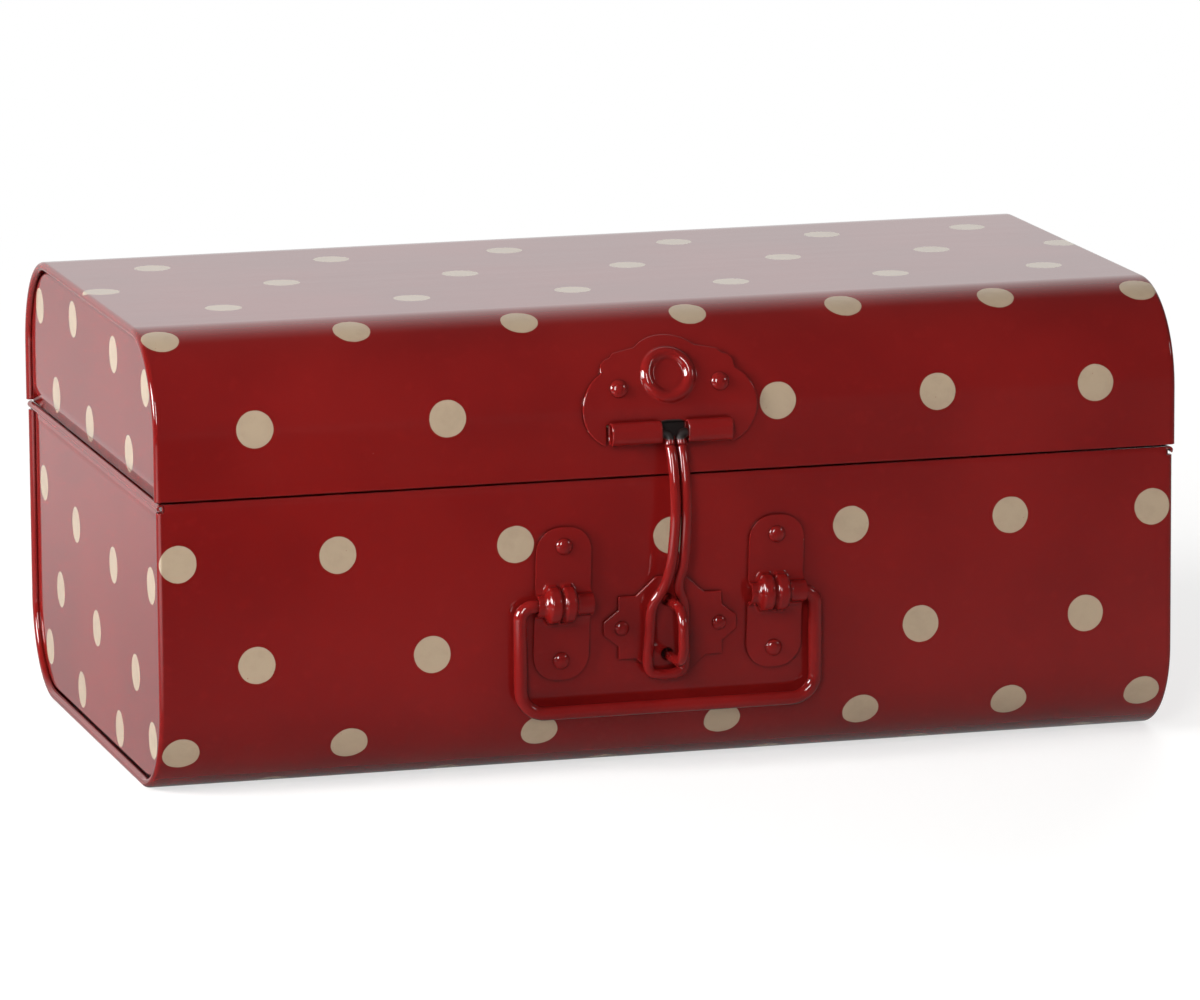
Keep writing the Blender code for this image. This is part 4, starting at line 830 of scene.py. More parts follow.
def end_panel(name, side, length, front, edge, far, corner, dots):
    """A tray: its flat face, the bend round it, its wall and its flange."""
    face_x = length / 2 - PANEL_INSET
    flange_x = length / 2 - RIM_DEPTH
    path = wrap_path(front, CASE_BACK, edge, far, corner)
    turns = np.linspace(0, pi / 2, TRAY_TURNS + 1)
    inset = RIM_DEPTH + TRAY_BEND
    section = [(face_x, inset + SUPPORT, 1, 0)]
    for a in turns:
        section.append((face_x - TRAY_BEND * (1 - cos(a)), inset - TRAY_BEND * sin(a), cos(a), sin(a)))
    section += [(flange_x, RIM_DEPTH, sqrt(0.5), sqrt(0.5)), (flange_x, SHEET + CLEARANCE, 1, 0)]
    section = np.array(section)
    points, normals, grid = surface(section, path)
    rim = points.reshape(len(path), len(section), 3)[:, 0]
    lip_y = spaced(rim[-1, 1], rim[0, 1], FACE_GRID)[1:-1]
    loop = np.concatenate([rim[:, 1:], np.stack([lip_y, np.full(len(lip_y), edge)], -1)])
    turn = 1 if far > edge else -1
    low, high = loop.min(axis=0), loop.max(axis=0)
    flat, triangles = fill([loop], scatter([loop], low, high, FACE_GRID, FACE_GRID / 2))
    count = len(points)
    ids = np.concatenate([np.arange(len(path)) * len(section), count + np.arange(len(flat) - len(path))])
    more = np.stack([np.full(len(flat) - len(path), face_x), flat[len(path):, 0], flat[len(path):, 1]], -1)
    points = np.concatenate([points, more])
    normals = np.concatenate([normals, np.tile((1.0, 0.0, 0.0), (len(more), 1))])
    faces = [tuple(ids[list(t)]) for t in triangles]
    grid = grid.reshape(-1, 4)
    faces += [tuple(q if turn > 0 else q[::-1]) for q in grid[:, ::-1]]
    points[:, 0] *= side
    normals[:, 0] *= side
    sheet = np.stack([points[:, 1] - CASE_FRONT, points[:, 2], np.zeros(len(points))], -1) / MM
    return shell(name, points, normals, faces, SHEET, sheet, dots)


def hem(name, side):
    """The rolled upper edge of a lower panel, as long as the case is deep."""
    face_x = CASE_LENGTH / 2 - PANEL_INSET
    centre_x, centre_z = face_x + HEM_BEND, CASE_HEIGHT - HEM_HEIGHT / 2
    turns = pi - np.linspace(0, HEM_TURN, 2 * RIM_TURNS + 1)
    section = [(face_x, CASE_HEIGHT - HEM_HEIGHT, 1, 0), (face_x, centre_z - SUPPORT, 1, 0)]
    section += [(centre_x + HEM_BEND * cos(a), centre_z + HEM_BEND * sin(a), -cos(a), -sin(a)) for a in turns]
    ys = spaced(CASE_FRONT, CASE_BACK)
    points = np.array([(x, y, z) for y in ys for x, z, nx, nz in section])
    normals = np.array([(nx, 0, nz) for y in ys for x, z, nx, nz in section])
    points[:, 0] *= side
    normals[:, 0] *= side
    sheet = np.tile((0.0, 0.0, 0.0), (len(points), 1))
    return shell(name, points, normals, quads(len(ys), len(section)).reshape(-1, 4), SHEET, sheet)


def end_dots(places, side):
    """An end's dots: how far behind the front edge, how high, and the radius. The right end, which the
    photograph doesn't show, has the left one's dots from back to front."""
    return np.array([(u if side < 0 else DEPTH_MM - u, level, DOT_RADIUS) for u, level in places])


for word, side in (("left", -1), ("right", 1)):
    finish_piece(
        end_panel(
            f"lid_{word}_panel", side, LID_LENGTH, LID_FRONT, LID_LOWER_EDGE, TOTAL_HEIGHT, LID_CORNER,
            end_dots(LEFT_END_LID, side),
        ),
        DOTTED_ENAMEL, "lid", [f"lid_{word}_end"],
    )
    finish_piece(
        end_panel(
            f"case_{word}_panel", side, CASE_LENGTH, CASE_FRONT, CASE_HEIGHT - HEM_HEIGHT, 0.0, CASE_CORNER,
            end_dots(LEFT_END_CASE, side),
        ),
        DOTTED_ENAMEL, "case", [f"case_{word}_end"],
    )
    finish_piece(hem(f"case_{word}_hem", side), DOTTED_ENAMEL, "case", [])

# %% [markdown]
# ## Stamped plates
# The plates are punched from sheet 0.8 mm thick, which leaves their edges a little rounded, and then bent in
# a press. The same order works here. A flat blank is drawn with its holes, its edges are rounded by rings of
# points, and its inside is filled with triangles that are smaller where it will bend. Then each bend turns
# the part of the blank beyond a line, and a raised ring is pressed in by lifting points.

# %% Blanks and bends
EDGE_ROUND, EDGE_SUPPORT = 0.00032, 0.00010
LEAST_STRETCH, LEAST_SHARE = 0.5, 0.05
# Steps and margins of the points inside a blank, as shares of its outline's step.
SPREAD_STEP, SPREAD_MARGIN, EXTRA_MARGIN = 1.2, 0.5, 0.25
RIVET_HOLE, RIVET_SIDES = 0.0013, 16


def arc(centre, radius, start, end, steps):
    """Points along a part of a circle, from one angle to another."""
    turns = np.linspace(start, end, steps + 1)
    return [(centre[0] + radius * cos(a), centre[1] + radius * sin(a)) for a in turns]


def circle(centre, radius, sides):
    """Points round a whole circle."""
    return arc(centre, radius, 0, 2 * pi, sides)[:-1]


def rivet_holes(x, y, tilt=0.0):
    """The holes for a plate's two rivets, the left one lower and the right one higher by the tilt."""
    return [circle((way * x, y + way * tilt), RIVET_HOLE, RIVET_SIDES) for way in (-1, 1)]


def even_loop(corners, step):
    """A closed loop with points no further apart than a step."""
    points = []
    for (ax, ay), (bx, by) in zip(corners, corners[1:] + corners[:1]):
        pieces = max(1, int(np.ceil(np.hypot(bx - ax, by - ay) / step)))
        points += [(ax + (bx - ax) * i / pieces, ay + (by - ay) * i / pieces) for i in range(pieces)]
    loop = np.array(points)
    following = np.roll(loop, -1, axis=0)
    area = (loop[:, 0] * following[:, 1] - following[:, 0] * loop[:, 1]).sum()
    return loop if area > 0 else loop[::-1]


def moved_in(loop, amount):
    """The loop moved towards its left, which is inwards for the outline and outwards for a hole. Points that
    would pass each other at a sharp corner meet there instead."""
    before = loop - np.roll(loop, 1, axis=0)
    after = np.roll(loop, -1, axis=0) - loop
    normals = []
    for way in (before, after):
        unit = way / np.linalg.norm(way, axis=1)[:, None]
        normals.append(np.stack([-unit[:, 1], unit[:, 0]], -1))
    middle = normals[0] + normals[1]
    middle /= np.maximum(np.linalg.norm(middle, axis=1), 1e-9)[:, None]
    stretch = np.maximum((middle * normals[0]).sum(axis=1), LEAST_STRETCH)
    moved = loop + middle * (amount / stretch)[:, None]
    gap = np.roll(moved, -1, axis=0) - moved
    passed = (gap * after).sum(axis=1) < LEAST_SHARE * (after * after).sum(axis=1)
    group = np.cumsum(~np.roll(passed, 1))
    group[group == 0] = group[-1]
    for number in np.unique(group):
        same = group == number
        moved[same] = moved[same].mean(axis=0)
    return moved


# %% A flat blank


def blank(outline, holes, thickness, step, extra=None, clear=None):
    """A flat blank with rounded edges: points, faces and each point's distance from an edge. Extra points
    make some places finer, and the clear function says where the even points give way to them."""
    loops = [even_loop(outline, step)] + [even_loop(hole, step)[::-1] for hole in holes]
    bend = EDGE_ROUND * (1 - sqrt(0.5))
    rings = [
        (EDGE_ROUND + EDGE_SUPPORT, thickness), (EDGE_ROUND, thickness), (bend, thickness - bend),
        (0, thickness - EDGE_ROUND), (0, EDGE_ROUND),
        (bend, bend), (EDGE_ROUND, 0), (EDGE_ROUND + EDGE_SUPPORT, 0),
    ]
    core = [moved_in(loop, rings[0][0]) for loop in loops]
    low, high = core[0].min(axis=0), core[0].max(axis=0)
    spread = scatter(core, low, high, step * SPREAD_STEP, step * SPREAD_MARGIN)
    if clear is not None:
        spread = spread[~clear(spread)]
    if extra is not None:
        spread = np.concatenate([spread, kept_inside(extra, core, step * EXTRA_MARGIN)])
    flat, triangles = fill(core, spread)
    rim_count = sum(len(loop) for loop in core)
    points, faces, ring_ids = [], [], []
    for inset, height in rings:
        start = len(points)
        ring_ids.append(start)
        for loop in loops:
            points += [(x, y, height) for x, y in moved_in(loop, inset)]
    starts = np.cumsum([0] + [len(loop) for loop in loops])
    for upper, lower in zip(ring_ids[:-1], ring_ids[1:]):
        for first, loop in zip(starts, loops):
            for i in range(len(loop)):
                a, b = first + i, first + (i + 1) % len(loop)
                faces.append((lower + a, lower + b, upper + b, upper + a))
    for ring, height, order in ((ring_ids[0], thickness, 1), (ring_ids[-1], 0.0, -1)):
        start = len(points)
        points += [(x, y, height) for x, y in flat[rim_count:]]
        for triangle in triangles:
            ids = [ring + v if v < rim_count else start + v - rim_count for v in triangle]
            faces.append(tuple(ids[::order]))
    points = np.array(points)
    return points, faces, distance_to(points[:, :2], loops) / MM


# %% Bending


def bend(points, start, centre, arc_radius, turn, reach=1.0, middle=0.0):
    """Turns the part of a blank beyond a line: below it and up where the centre is above the blank, above it
    and down where the centre is below."""
    way = -1 if centre > 0 else 1
    past = way * (points[:, 1] - start)
    angle = np.minimum(past / arc_radius, turn)
    straight = past - angle * arc_radius
    offset = way * (points[:, 2] - centre)
    y = start + way * (offset * np.sin(angle) + straight * np.cos(angle))
    z = centre + way * (offset * np.cos(angle) - straight * np.sin(angle))
    moves = (past > 0) & (np.abs(points[:, 0] - middle) <= reach + 1e-6)
    made = points.copy()
    made[moves, 1], made[moves, 2] = y[moves], z[moves]
    return made


def on_front(points, x, y, z):
    """A blank stood on the front: its own up is the world's up, and its face looks at the viewer."""
    return np.stack([x + points[:, 0], y - points[:, 2], z + points[:, 1]], -1)


# %% [markdown]
# ### The hasp plate
# The plate on the lid is the showpiece: two ears, a crown and a raised ring. Its lower edge is split into two
# tabs that are rolled into barrels, and the wire's axle turns in them. The split stays open in the middle for
# the two strands of the wire. Above the ring the plate follows the lid's corner.

# %% Sizes of the hasp plate
CLASP_CENTRE, BARREL_HEIGHT, BARREL_RADIUS, BARREL_RISE = -0.00105, 0.0954, 0.0026, 0.0013
BARREL_HALF, BARREL_SHIFT, SHEAR_GAP, SHEAR_TOP = 0.0172, -0.0005, 0.0005, 0.0029
CLOSING_TURN = radians(122)
BARREL_BLANK = BARREL_RADIUS * (pi + CLOSING_TURN) + BARREL_RISE
SLOT_CENTRE, SLOT_HALF = 0.0003, 0.0037
EAR_X, EAR_RISE, EAR_RADIUS, NOTCH_X = 0.0138, 0.0071, 0.0111, 0.0191
SHOULDER_RISE, SHOULDER_RADIUS, CROWN_X, CROWN_RISE, HUMP_RADIUS = 0.0211, 0.0030, 0.0150, 0.0240, 0.0118
RING_RISE, RING_RADIUS, RING_HALF, RING_STAND = 0.0159, 0.0061, 0.0014, 0.0013
RING_TURNS, RING_ROWS, RING_SPREAD, RING_CLEAR, RING_FOOT, RING_ROUND = 96, 15, 1.5, 1.9, 1.25, 0.8
HASP_RIVET_X, HASP_RIVET_RISE, HASP_RIVET_OFFSET = 0.0144, 0.0129, 0.0003
PLATE_STEP, BARREL_STEP, BARREL_COLUMNS = 0.0010, 0.0004, 2.5
EAR_STEPS, SHOULDER_STEPS, HUMP_STEPS = 26, 8, 16


# %% The plate's outline


def ear_side(gap_x, way):
    """One side of the outline above the barrels, from the shear gap up to the top of the hump."""
    foot = -acos((abs(gap_x) - EAR_X) / EAR_RADIUS)
    top = acos((NOTCH_X - EAR_X) / EAR_RADIUS)
    shoulder = (NOTCH_X - SHOULDER_RADIUS, SHOULDER_RISE - SHOULDER_RADIUS)
    hump_foot = asin((CROWN_RISE - RING_RISE) / HUMP_RADIUS)
    side = arc((EAR_X, EAR_RISE), EAR_RADIUS, foot, top, EAR_STEPS)
    side += arc(shoulder, SHOULDER_RADIUS, 0, pi / 2, SHOULDER_STEPS)
    side += [(CROWN_X, (SHOULDER_RISE + CROWN_RISE) / 2)]
    side += arc((0, RING_RISE), HUMP_RADIUS, hump_foot, pi / 2, HUMP_STEPS)
    return [(way * x, y) for x, y in side]


low_end, high_end = BARREL_SHIFT - BARREL_HALF, BARREL_SHIFT + BARREL_HALF
slot_low, slot_high = SLOT_CENTRE - SLOT_HALF, SLOT_CENTRE + SLOT_HALF
right_side = ear_side(high_end + SHEAR_GAP, 1)
left_side = ear_side(low_end - SHEAR_GAP, -1)
hasp_outline = [(high_end, -BARREL_BLANK), (high_end, SHEAR_TOP), (high_end + SHEAR_GAP, SHEAR_TOP)]
hasp_outline += right_side + left_side[-2::-1]
hasp_outline += [(low_end - SHEAR_GAP, SHEAR_TOP), (low_end, SHEAR_TOP), (low_end, -BARREL_BLANK)]
hasp_outline += [(slot_low, -BARREL_BLANK), (slot_low, SHEAR_TOP)]
hasp_outline += [(slot_high, SHEAR_TOP), (slot_high, -BARREL_BLANK)]

# %% Its holes and finer points
hasp_holes = rivet_holes(HASP_RIVET_X, HASP_RIVET_RISE, HASP_RIVET_OFFSET)
hasp_extra = []
for share in np.linspace(-RING_SPREAD, RING_SPREAD, RING_ROWS):
    hasp_extra += circle((0, RING_RISE), RING_RADIUS + share * RING_HALF, RING_TURNS)
for y in np.arange(-BARREL_BLANK, SHEAR_TOP, BARREL_STEP):
    hasp_extra += [(x, y) for x in np.arange(low_end + BARREL_STEP, high_end, BARREL_COLUMNS * BARREL_STEP)]


def hasp_crowded(points):
    """Points that the ring's and the barrels' own points stand in for."""
    away = np.abs(np.hypot(points[:, 0], points[:, 1] - RING_RISE) - RING_RADIUS)
    in_barrels = (points[:, 1] < SHEAR_TOP) & (np.abs(points[:, 0]) < BARREL_HALF)
    return (away < RING_CLEAR * RING_HALF) | in_barrels


# %% Stamping the plate
points, faces, worn = blank(hasp_outline, hasp_holes, PLATE, PLATE_STEP / 2, hasp_extra, hasp_crowded)
from_ring = np.hypot(points[:, 0], points[:, 1] - RING_RISE) - RING_RADIUS
points[:, 2] += RING_STAND * np.clip(1 - (from_ring / (RING_FOOT * RING_HALF)) ** 2, 0, 1) ** RING_ROUND
top_turn = (RING_RISE + HUMP_RADIUS - (LID_FLAT_TOP - BARREL_HEIGHT)) / LID_CORNER
points = bend(points, LID_FLAT_TOP - BARREL_HEIGHT, -LID_CORNER - CLEARANCE, LID_CORNER, top_turn)
closing_start = -BARREL_RADIUS * pi - BARREL_RISE
points = bend(points, closing_start, BARREL_RADIUS, BARREL_RADIUS, CLOSING_TURN, BARREL_HALF, BARREL_SHIFT)
points = bend(points, 0.0, BARREL_RADIUS, BARREL_RADIUS, pi, BARREL_HALF, BARREL_SHIFT)
points = on_front(points, CLASP_CENTRE, LID_FRONT - CLEARANCE, BARREL_HEIGHT)
finish_piece(
    new_mesh("hasp_plate_stamped", points, faces, {"edge_mm": worn}),
    FITTING_ENAMEL, "lid", ["hasp_plate"],
)

# %% [markdown]
# ### The staple plate and the hinge leaves
# The staple's plate is flat, with eight corners cut at a slant. The hinges at the back are ordinary butt
# hinges: each leaf is cut away where the other one's knuckles turn, and its tongues are rolled round the pin.

# %% Staple plate
STAPLE_X, STAPLE_HEIGHT, STAPLE_WIRE, STAPLE_SPACING = -0.0022, 0.0412, 0.0029, 0.0154
STAPLE_PLATE_X, STAPLE_PLATE_HEIGHT = -0.0013, 0.0415
STAPLE_HALF_WIDTH, STAPLE_HALF_HEIGHT, STAPLE_RIVET_X, STAPLE_SIDES = 0.0190, 0.0139, 0.0139, 20
# A quarter of the outline, as shares of its half width and half height.
STAPLE_SHARES = ((1.00, 0.14), (0.78, 0.37), (0.78, 0.635), (0.52, 0.635), (0.22, 1.00))
quarter = [(STAPLE_HALF_WIDTH * x, STAPLE_HALF_HEIGHT * y) for x, y in STAPLE_SHARES]
half = [(x, -y) for x, y in reversed(quarter)] + quarter
staple_outline = half + [(-x, y) for x, y in reversed(half)]
staple_holes = rivet_holes(STAPLE_RIVET_X, 0)
for way in (-1, 1):
    leg = (STAPLE_X - STAPLE_PLATE_X, STAPLE_HEIGHT + way * STAPLE_SPACING / 2 - STAPLE_PLATE_HEIGHT)
    staple_holes.append(circle(leg, STAPLE_WIRE / 2 + CLEARANCE / 2, STAPLE_SIDES))
points, faces, worn = blank(staple_outline, staple_holes, PLATE, PLATE_STEP / 2)
points = on_front(points, STAPLE_PLATE_X, CASE_FRONT - CLEARANCE, STAPLE_PLATE_HEIGHT)
finish_piece(
    new_mesh("staple_plate_stamped", points, faces, {"edge_mm": worn}),
    FITTING_ENAMEL, "case", ["staple_plate"],
)

# %% Hinge leaves
HINGE_SPACING, HINGE_WIDTH, LEAF_HEIGHT, LEAF_CORNER = 0.150, 0.030, 0.015, 0.0035
HINGE_RADIUS, HINGE_PIN, KNUCKLE_GAP, KNUCKLE_TURN = 0.0022, 0.0022, 0.0005, radians(335)
HINGE_RIVET_X, HINGE_RIVET_RISE = 0.009, 0.009
LEAF_CORNER_STEPS, LEAF_COLUMNS, ROLLED_BELOW = 8, 3, 0.0005
HINGE_AXIS_Y = CASE_BACK + CLEARANCE + HINGE_RADIUS


def leaf_crowded(points):
    """Points that the rolled tongues' own points stand in for."""
    return points[:, 1] < ROLLED_BELOW


def hinge_leaf(upright):
    """A leaf, up from the pin's axis. The lid's has the middle tongue, and the case's the outer two."""
    half, foot, top = HINGE_WIDTH / 2, -HINGE_RADIUS * KNUCKLE_TURN, HINGE_RADIUS + CLEARANCE
    knuckle = HINGE_WIDTH / 6
    upper = arc((half - LEAF_CORNER, LEAF_HEIGHT - LEAF_CORNER), LEAF_CORNER, 0, pi / 2, LEAF_CORNER_STEPS)
    upper += [(-x, y) for x, y in reversed(upper)]
    if upright:
        lower = [(-half, top), (-knuckle, top), (-knuckle, foot)]
    else:
        room = knuckle + KNUCKLE_GAP
        lower = [(-half, foot), (-room, foot), (-room, top)]
    lower += [(-x, y) for x, y in reversed(lower)]
    holes = rivet_holes(HINGE_RIVET_X, HINGE_RIVET_RISE)
    columns = np.arange(-half, half, LEAF_COLUMNS * BARREL_STEP)
    rows = [(x, y) for y in np.arange(foot, ROLLED_BELOW, BARREL_STEP) for x in columns]
    points, faces, worn = blank(upper + lower, holes, PLATE, PLATE_STEP / 2, rows, leaf_crowded)
    return bend(points, 0.0, HINGE_RADIUS, HINGE_RADIUS, KNUCKLE_TURN), faces, worn


for upright, body in ((True, "lid"), (False, "case")):
    points, faces, worn = hinge_leaf(upright)
    way = 1 if upright else -1
    for side_word, side in (("left", -1), ("right", 1)):
        x = side * HINGE_SPACING / 2 - way * points[:, 0]
        placed = np.stack([x, CASE_BACK + CLEARANCE + points[:, 2], SEAM_HEIGHT + way * points[:, 1]], -1)
        finish_piece(
            new_mesh(f"{side_word}_{body}_leaf", placed, faces, {"edge_mm": worn}),
            FITTING_ENAMEL, body, [f"{side_word}_hinge_{body}_leaf"],
        )

# %% [markdown]
# ### The handle's brackets
# Each bracket is a strap pressed over the bail's wire. Its tabs lie flat on the case, and its knuckle has a
# rounded bulge with a groove in the middle, which keeps the end of the wire from sliding out. As a grid of
# points across and along the strap, the radius of the knuckle can simply follow a curve across its width.

# %% Brackets
BRACKET_SPACING, BRACKET_CENTRE, HANDLE_HEIGHT, AXIS_STAND = 0.0608, -0.0016, 0.0494, 0.0030
BRACKET_WIDTH, BRACKET_LENGTH, BRACKET_CORNER, BRACKET_LEAN = 0.0157, 0.0426, 0.0069, 0.034
BRACKET_RIVET_OFFSET = 0.0159
KNUCKLE_RADIUS, BULGE_RADIUS, BULGE_SHIFT = 0.00305, 0.0052, -0.0012
BULGE_HALF, BULGE_EDGE, GROOVE_HALF, GROOVE_SHARE = 0.0049, 0.0018, 0.0010, 0.45
PLATE_STAND, TAB_FOOT = CLEARANCE + PLATE, 0.0064
STRAP_COLUMN, STRAP_ROW, STRAP_MARGIN, FILLET_PULL = 0.00042, 0.0009, 0.0008, 0.3
TAB_ROWS, FILLET_ROWS, CREST_ROWS = 16, 14, 25


# %% The strap's form


def ease(share):
    """A smooth step from 0 to 1."""
    return (1 - np.cos(pi * np.clip(share, 0, 1))) / 2


def bracket_mesh(name, side):
    """The strap as a grid: a tab, a fillet, the half-round knuckle, a fillet and a tab."""
    half, reach = BRACKET_WIDTH / 2, BRACKET_LENGTH / 2
    inner = np.arange(-half + STRAP_MARGIN, half - SUPPORT - CLEARANCE, STRAP_COLUMN)
    columns = np.concatenate(([-half, -half + SUPPORT], inner, [half - SUPPORT, half]))
    away = np.abs(columns - BULGE_SHIFT)
    bulge = ease((BULGE_HALF - away) / BULGE_EDGE) - GROOVE_SHARE * ease((GROOVE_HALF - away) / GROOVE_HALF)
    radius = KNUCKLE_RADIUS + (BULGE_RADIUS - KNUCKLE_RADIUS) * bulge
    level = np.ones(len(columns))
    rows = []
    for turn in np.linspace(0, pi / 2, TAB_ROWS):
        step = BRACKET_CORNER * (1 - cos(turn))
        width = half - BRACKET_CORNER + sqrt(max(0, BRACKET_CORNER**2 - (BRACKET_CORNER - step) ** 2))
        rows.append((level * (reach - step), level * PLATE_STAND, width / half))
    straight = np.arange(reach - BRACKET_CORNER - STRAP_ROW, TAB_FOOT, -STRAP_ROW)
    rows += [(level * z, level * PLATE_STAND, 1.0) for z in straight]
    low_wall = PLATE_STAND + FILLET_PULL * (AXIS_STAND - PLATE_STAND)
    for t in np.linspace(0, 1, FILLET_ROWS)[:-1]:
        a, b, c, d = (1 - t) ** 3, 3 * t * (1 - t) ** 2, 3 * t * t * (1 - t), t**3
        height = a * TAB_FOOT + b * (radius + FILLET_PULL * (TAB_FOOT - radius)) + (c + d) * radius
        rows.append((height, level * ((a + b) * PLATE_STAND + c * low_wall + d * AXIS_STAND), 1.0))
    for turn in np.linspace(pi / 2, 0, CREST_ROWS):
        rows.append((radius * sin(turn), AXIS_STAND + radius * cos(turn), 1.0))
    rows += [(-height, stand, width) for height, stand, width in rows[-2::-1]]
    points = np.array([
        (x * width + h * BRACKET_LEAN, -s, h)
        for height, stand, width in rows for x, h, s in zip(columns, height, stand)
    ])
    centre = (BRACKET_CENTRE + side * BRACKET_SPACING / 2, CASE_FRONT, HANDLE_HEIGHT)
    grid = points.reshape(len(rows), len(columns), 3)
    normals = np.cross(np.gradient(grid, axis=1), np.gradient(grid, axis=0)).reshape(-1, 3)
    normals /= np.linalg.norm(normals, axis=1)[:, None]
    normals *= np.where(normals[:, 1] < 0, 1, -1)[:, None]
    return shell(
        name, points + centre, normals, quads(len(rows), len(columns)).reshape(-1, 4), PLATE, worn=True
    )


for word, side in (("left", -1), ("right", 1)):
    finish_piece(
        bracket_mesh(f"{word}_bracket_strap", side), FITTING_ENAMEL, "case",
        [f"{word}_bracket"], RAW_EDGE,
    )

# %% [markdown]
# ## Bent wires
# The hasp's loop, the staple and the bail are drawn steel wire, bent cold. A curve with a round bevel is
# Blender's own form for that. The corners are rounded in the path itself, because a wire bends round a
# mandrel of a known radius.

# %% Wire paths
CORNER_STEPS, SPAN_STEPS, WIRE_ROUNDNESS, WELD_DISTANCE = 12, 7, 6, 1e-6


def rounded_path(points, radii):
    """A path whose inner corners are replaced by arcs."""
    path = [points[0]]
    for before, corner, after, radius in zip(points, points[1:], points[2:], radii):
        back = (before - corner).normalized()
        ahead = (after - corner).normalized()
        half = back.angle(ahead) / 2
        reach = radius * cos(half) / sin(half)
        centre = corner + (back + ahead).normalized() * (radius / sin(half))
        start = corner + back * reach - centre
        axis = start.cross(corner + ahead * reach - centre).normalized()
        for i in range(CORNER_STEPS + 1):
            path.append(centre + Matrix.Rotation((pi - 2 * half) * i / CORNER_STEPS, 3, axis) @ start)
    path.append(points[-1])
    return path


def smooth_path(points):
    """A Catmull-Rom curve through points, each span cut in even steps."""
    ends = [2 * points[0] - points[1]] + points + [2 * points[-1] - points[-2]]
    path = []
    for a, b, c, d in zip(ends, ends[1:], ends[2:], ends[3:]):
        for i in range(SPAN_STEPS):
            t = i / SPAN_STEPS
            bow = 2 * a - 5 * b + 4 * c - d
            twist = 3 * b - a - 3 * c + d
            path.append(b + ((c - a) * t + bow * t**2 + twist * t**3) / 2)
    path.append(points[-1])
    return path


# %% A wire's mesh


def wire_mesh(name, path, diameter):
    """A round bar along a path, with its caps welded to its sides."""
    curve = bpy.data.curves.new(name, "CURVE")
    curve.dimensions, curve.use_fill_caps = "3D", True
    curve.bevel_depth, curve.bevel_resolution = diameter / 2, WIRE_ROUNDNESS
    spline = curve.splines.new("POLY")
    spline.points.add(len(path) - 1)
    for point, place in zip(spline.points, path):
        point.co = (*place, 1)
    guide = bpy.data.objects.new(name + "_guide", curve)
    bpy.context.scene.collection.objects.link(guide)
    mesh = worked_out(guide, name)
    bpy.data.objects.remove(guide)
    bm = bmesh.new()
    bm.from_mesh(mesh)
    bmesh.ops.remove_doubles(bm, verts=bm.verts, dist=WELD_DISTANCE)
    bmesh.ops.recalc_face_normals(bm, faces=bm.faces)
    bm.to_mesh(mesh)
    print(f"{name}: {len(bm.faces)} faces, open edges {sum(not e.is_manifold for e in bm.edges)}")
    bm.free()
    mesh.shade_smooth()
    return mesh


# %% Hasp loop
HASP_WIRE, HASP_EYE_LENGTH, HASP_SHANK, HASP_BOW = 0.0030, 0.0234, 0.0435, 0.0058
HASP_EYE_HALF, HASP_EYE_SHIFT, HASP_AXLE, STRAND_GAP = 0.0053, -0.0025, 0.010, 0.0001
# Points down one strand. Each row has the share of the shank and of the eye's length that it lies down,
# its stand off the case, its distance from the other strand, and the eye's sideways shift.
LOOP_SHARES = (
    (0.000, 0.000, 0.00, 0.00, 0.00),
    (0.062, 0.000, 0.20, 0.02, -0.06),
    (0.154, 0.000, 0.54, 0.00, -0.12),
    (0.308, 0.000, 0.86, 0.00, -0.13),
    (0.492, 0.000, 1.00, 0.00, -0.11),
    (0.677, 0.000, 0.97, 0.02, 0.06),
    (0.815, 0.000, 0.86, 0.06, 0.24),
    (0.923, 0.000, 0.62, 0.06, 0.60),
    (1.000, 0.000, 0.42, 0.30, 0.76),
    (1.000, 0.143, 0.24, 0.74, 0.86),
    (1.000, 0.314, 0.13, 0.87, 0.92),
    (1.000, 0.600, 0.05, 0.93, 0.97),
    (1.000, 0.829, 0.01, 1.00, 1.00),
    (1.000, 0.957, 0.00, 0.80, 1.00),
    (1.000, 1.000, 0.00, 0.40, 1.00),
)
HASP_AXIS = Vector((CLASP_CENTRE + SLOT_CENTRE, LID_FRONT - CLEARANCE - BARREL_RADIUS, BARREL_HEIGHT))


def hasp_path():
    """From one end of the axle down one strand, round the eye, and up the other strand."""
    half_gap = (HASP_WIRE + STRAND_GAP) / 2
    strand = []
    for shank, eye, bow, spread, shift in LOOP_SHARES:
        x = half_gap + (HASP_EYE_HALF - half_gap) * spread if eye < 1 else HASP_EYE_HALF * spread
        drop = HASP_SHANK * shank + HASP_EYE_LENGTH * eye
        strand.append((x, HASP_EYE_SHIFT * shift, -HASP_BOW * bow, -drop))
    right = [HASP_AXIS + Vector((shift + x, y, z)) for x, shift, y, z in strand]
    left = [HASP_AXIS + Vector((shift - x, y, z)) for x, shift, y, z in strand]
    axle = Vector((HASP_AXLE, 0, 0))
    route = smooth_path(left[1:] + right[:0:-1])
    radii = [HASP_WIRE / 2, HASP_WIRE]
    start = rounded_path([left[0] - axle, left[0], route[0], route[1]], radii)[:-2]
    finish = rounded_path([right[0] + axle, right[0], route[-1], route[-2]], radii)[:-2]
    return start + route + finish[::-1]


finish_piece(
    wire_mesh("hasp_wire", hasp_path(), HASP_WIRE), PLAIN_ENAMEL, "hasp", ["hasp_loop"],
)

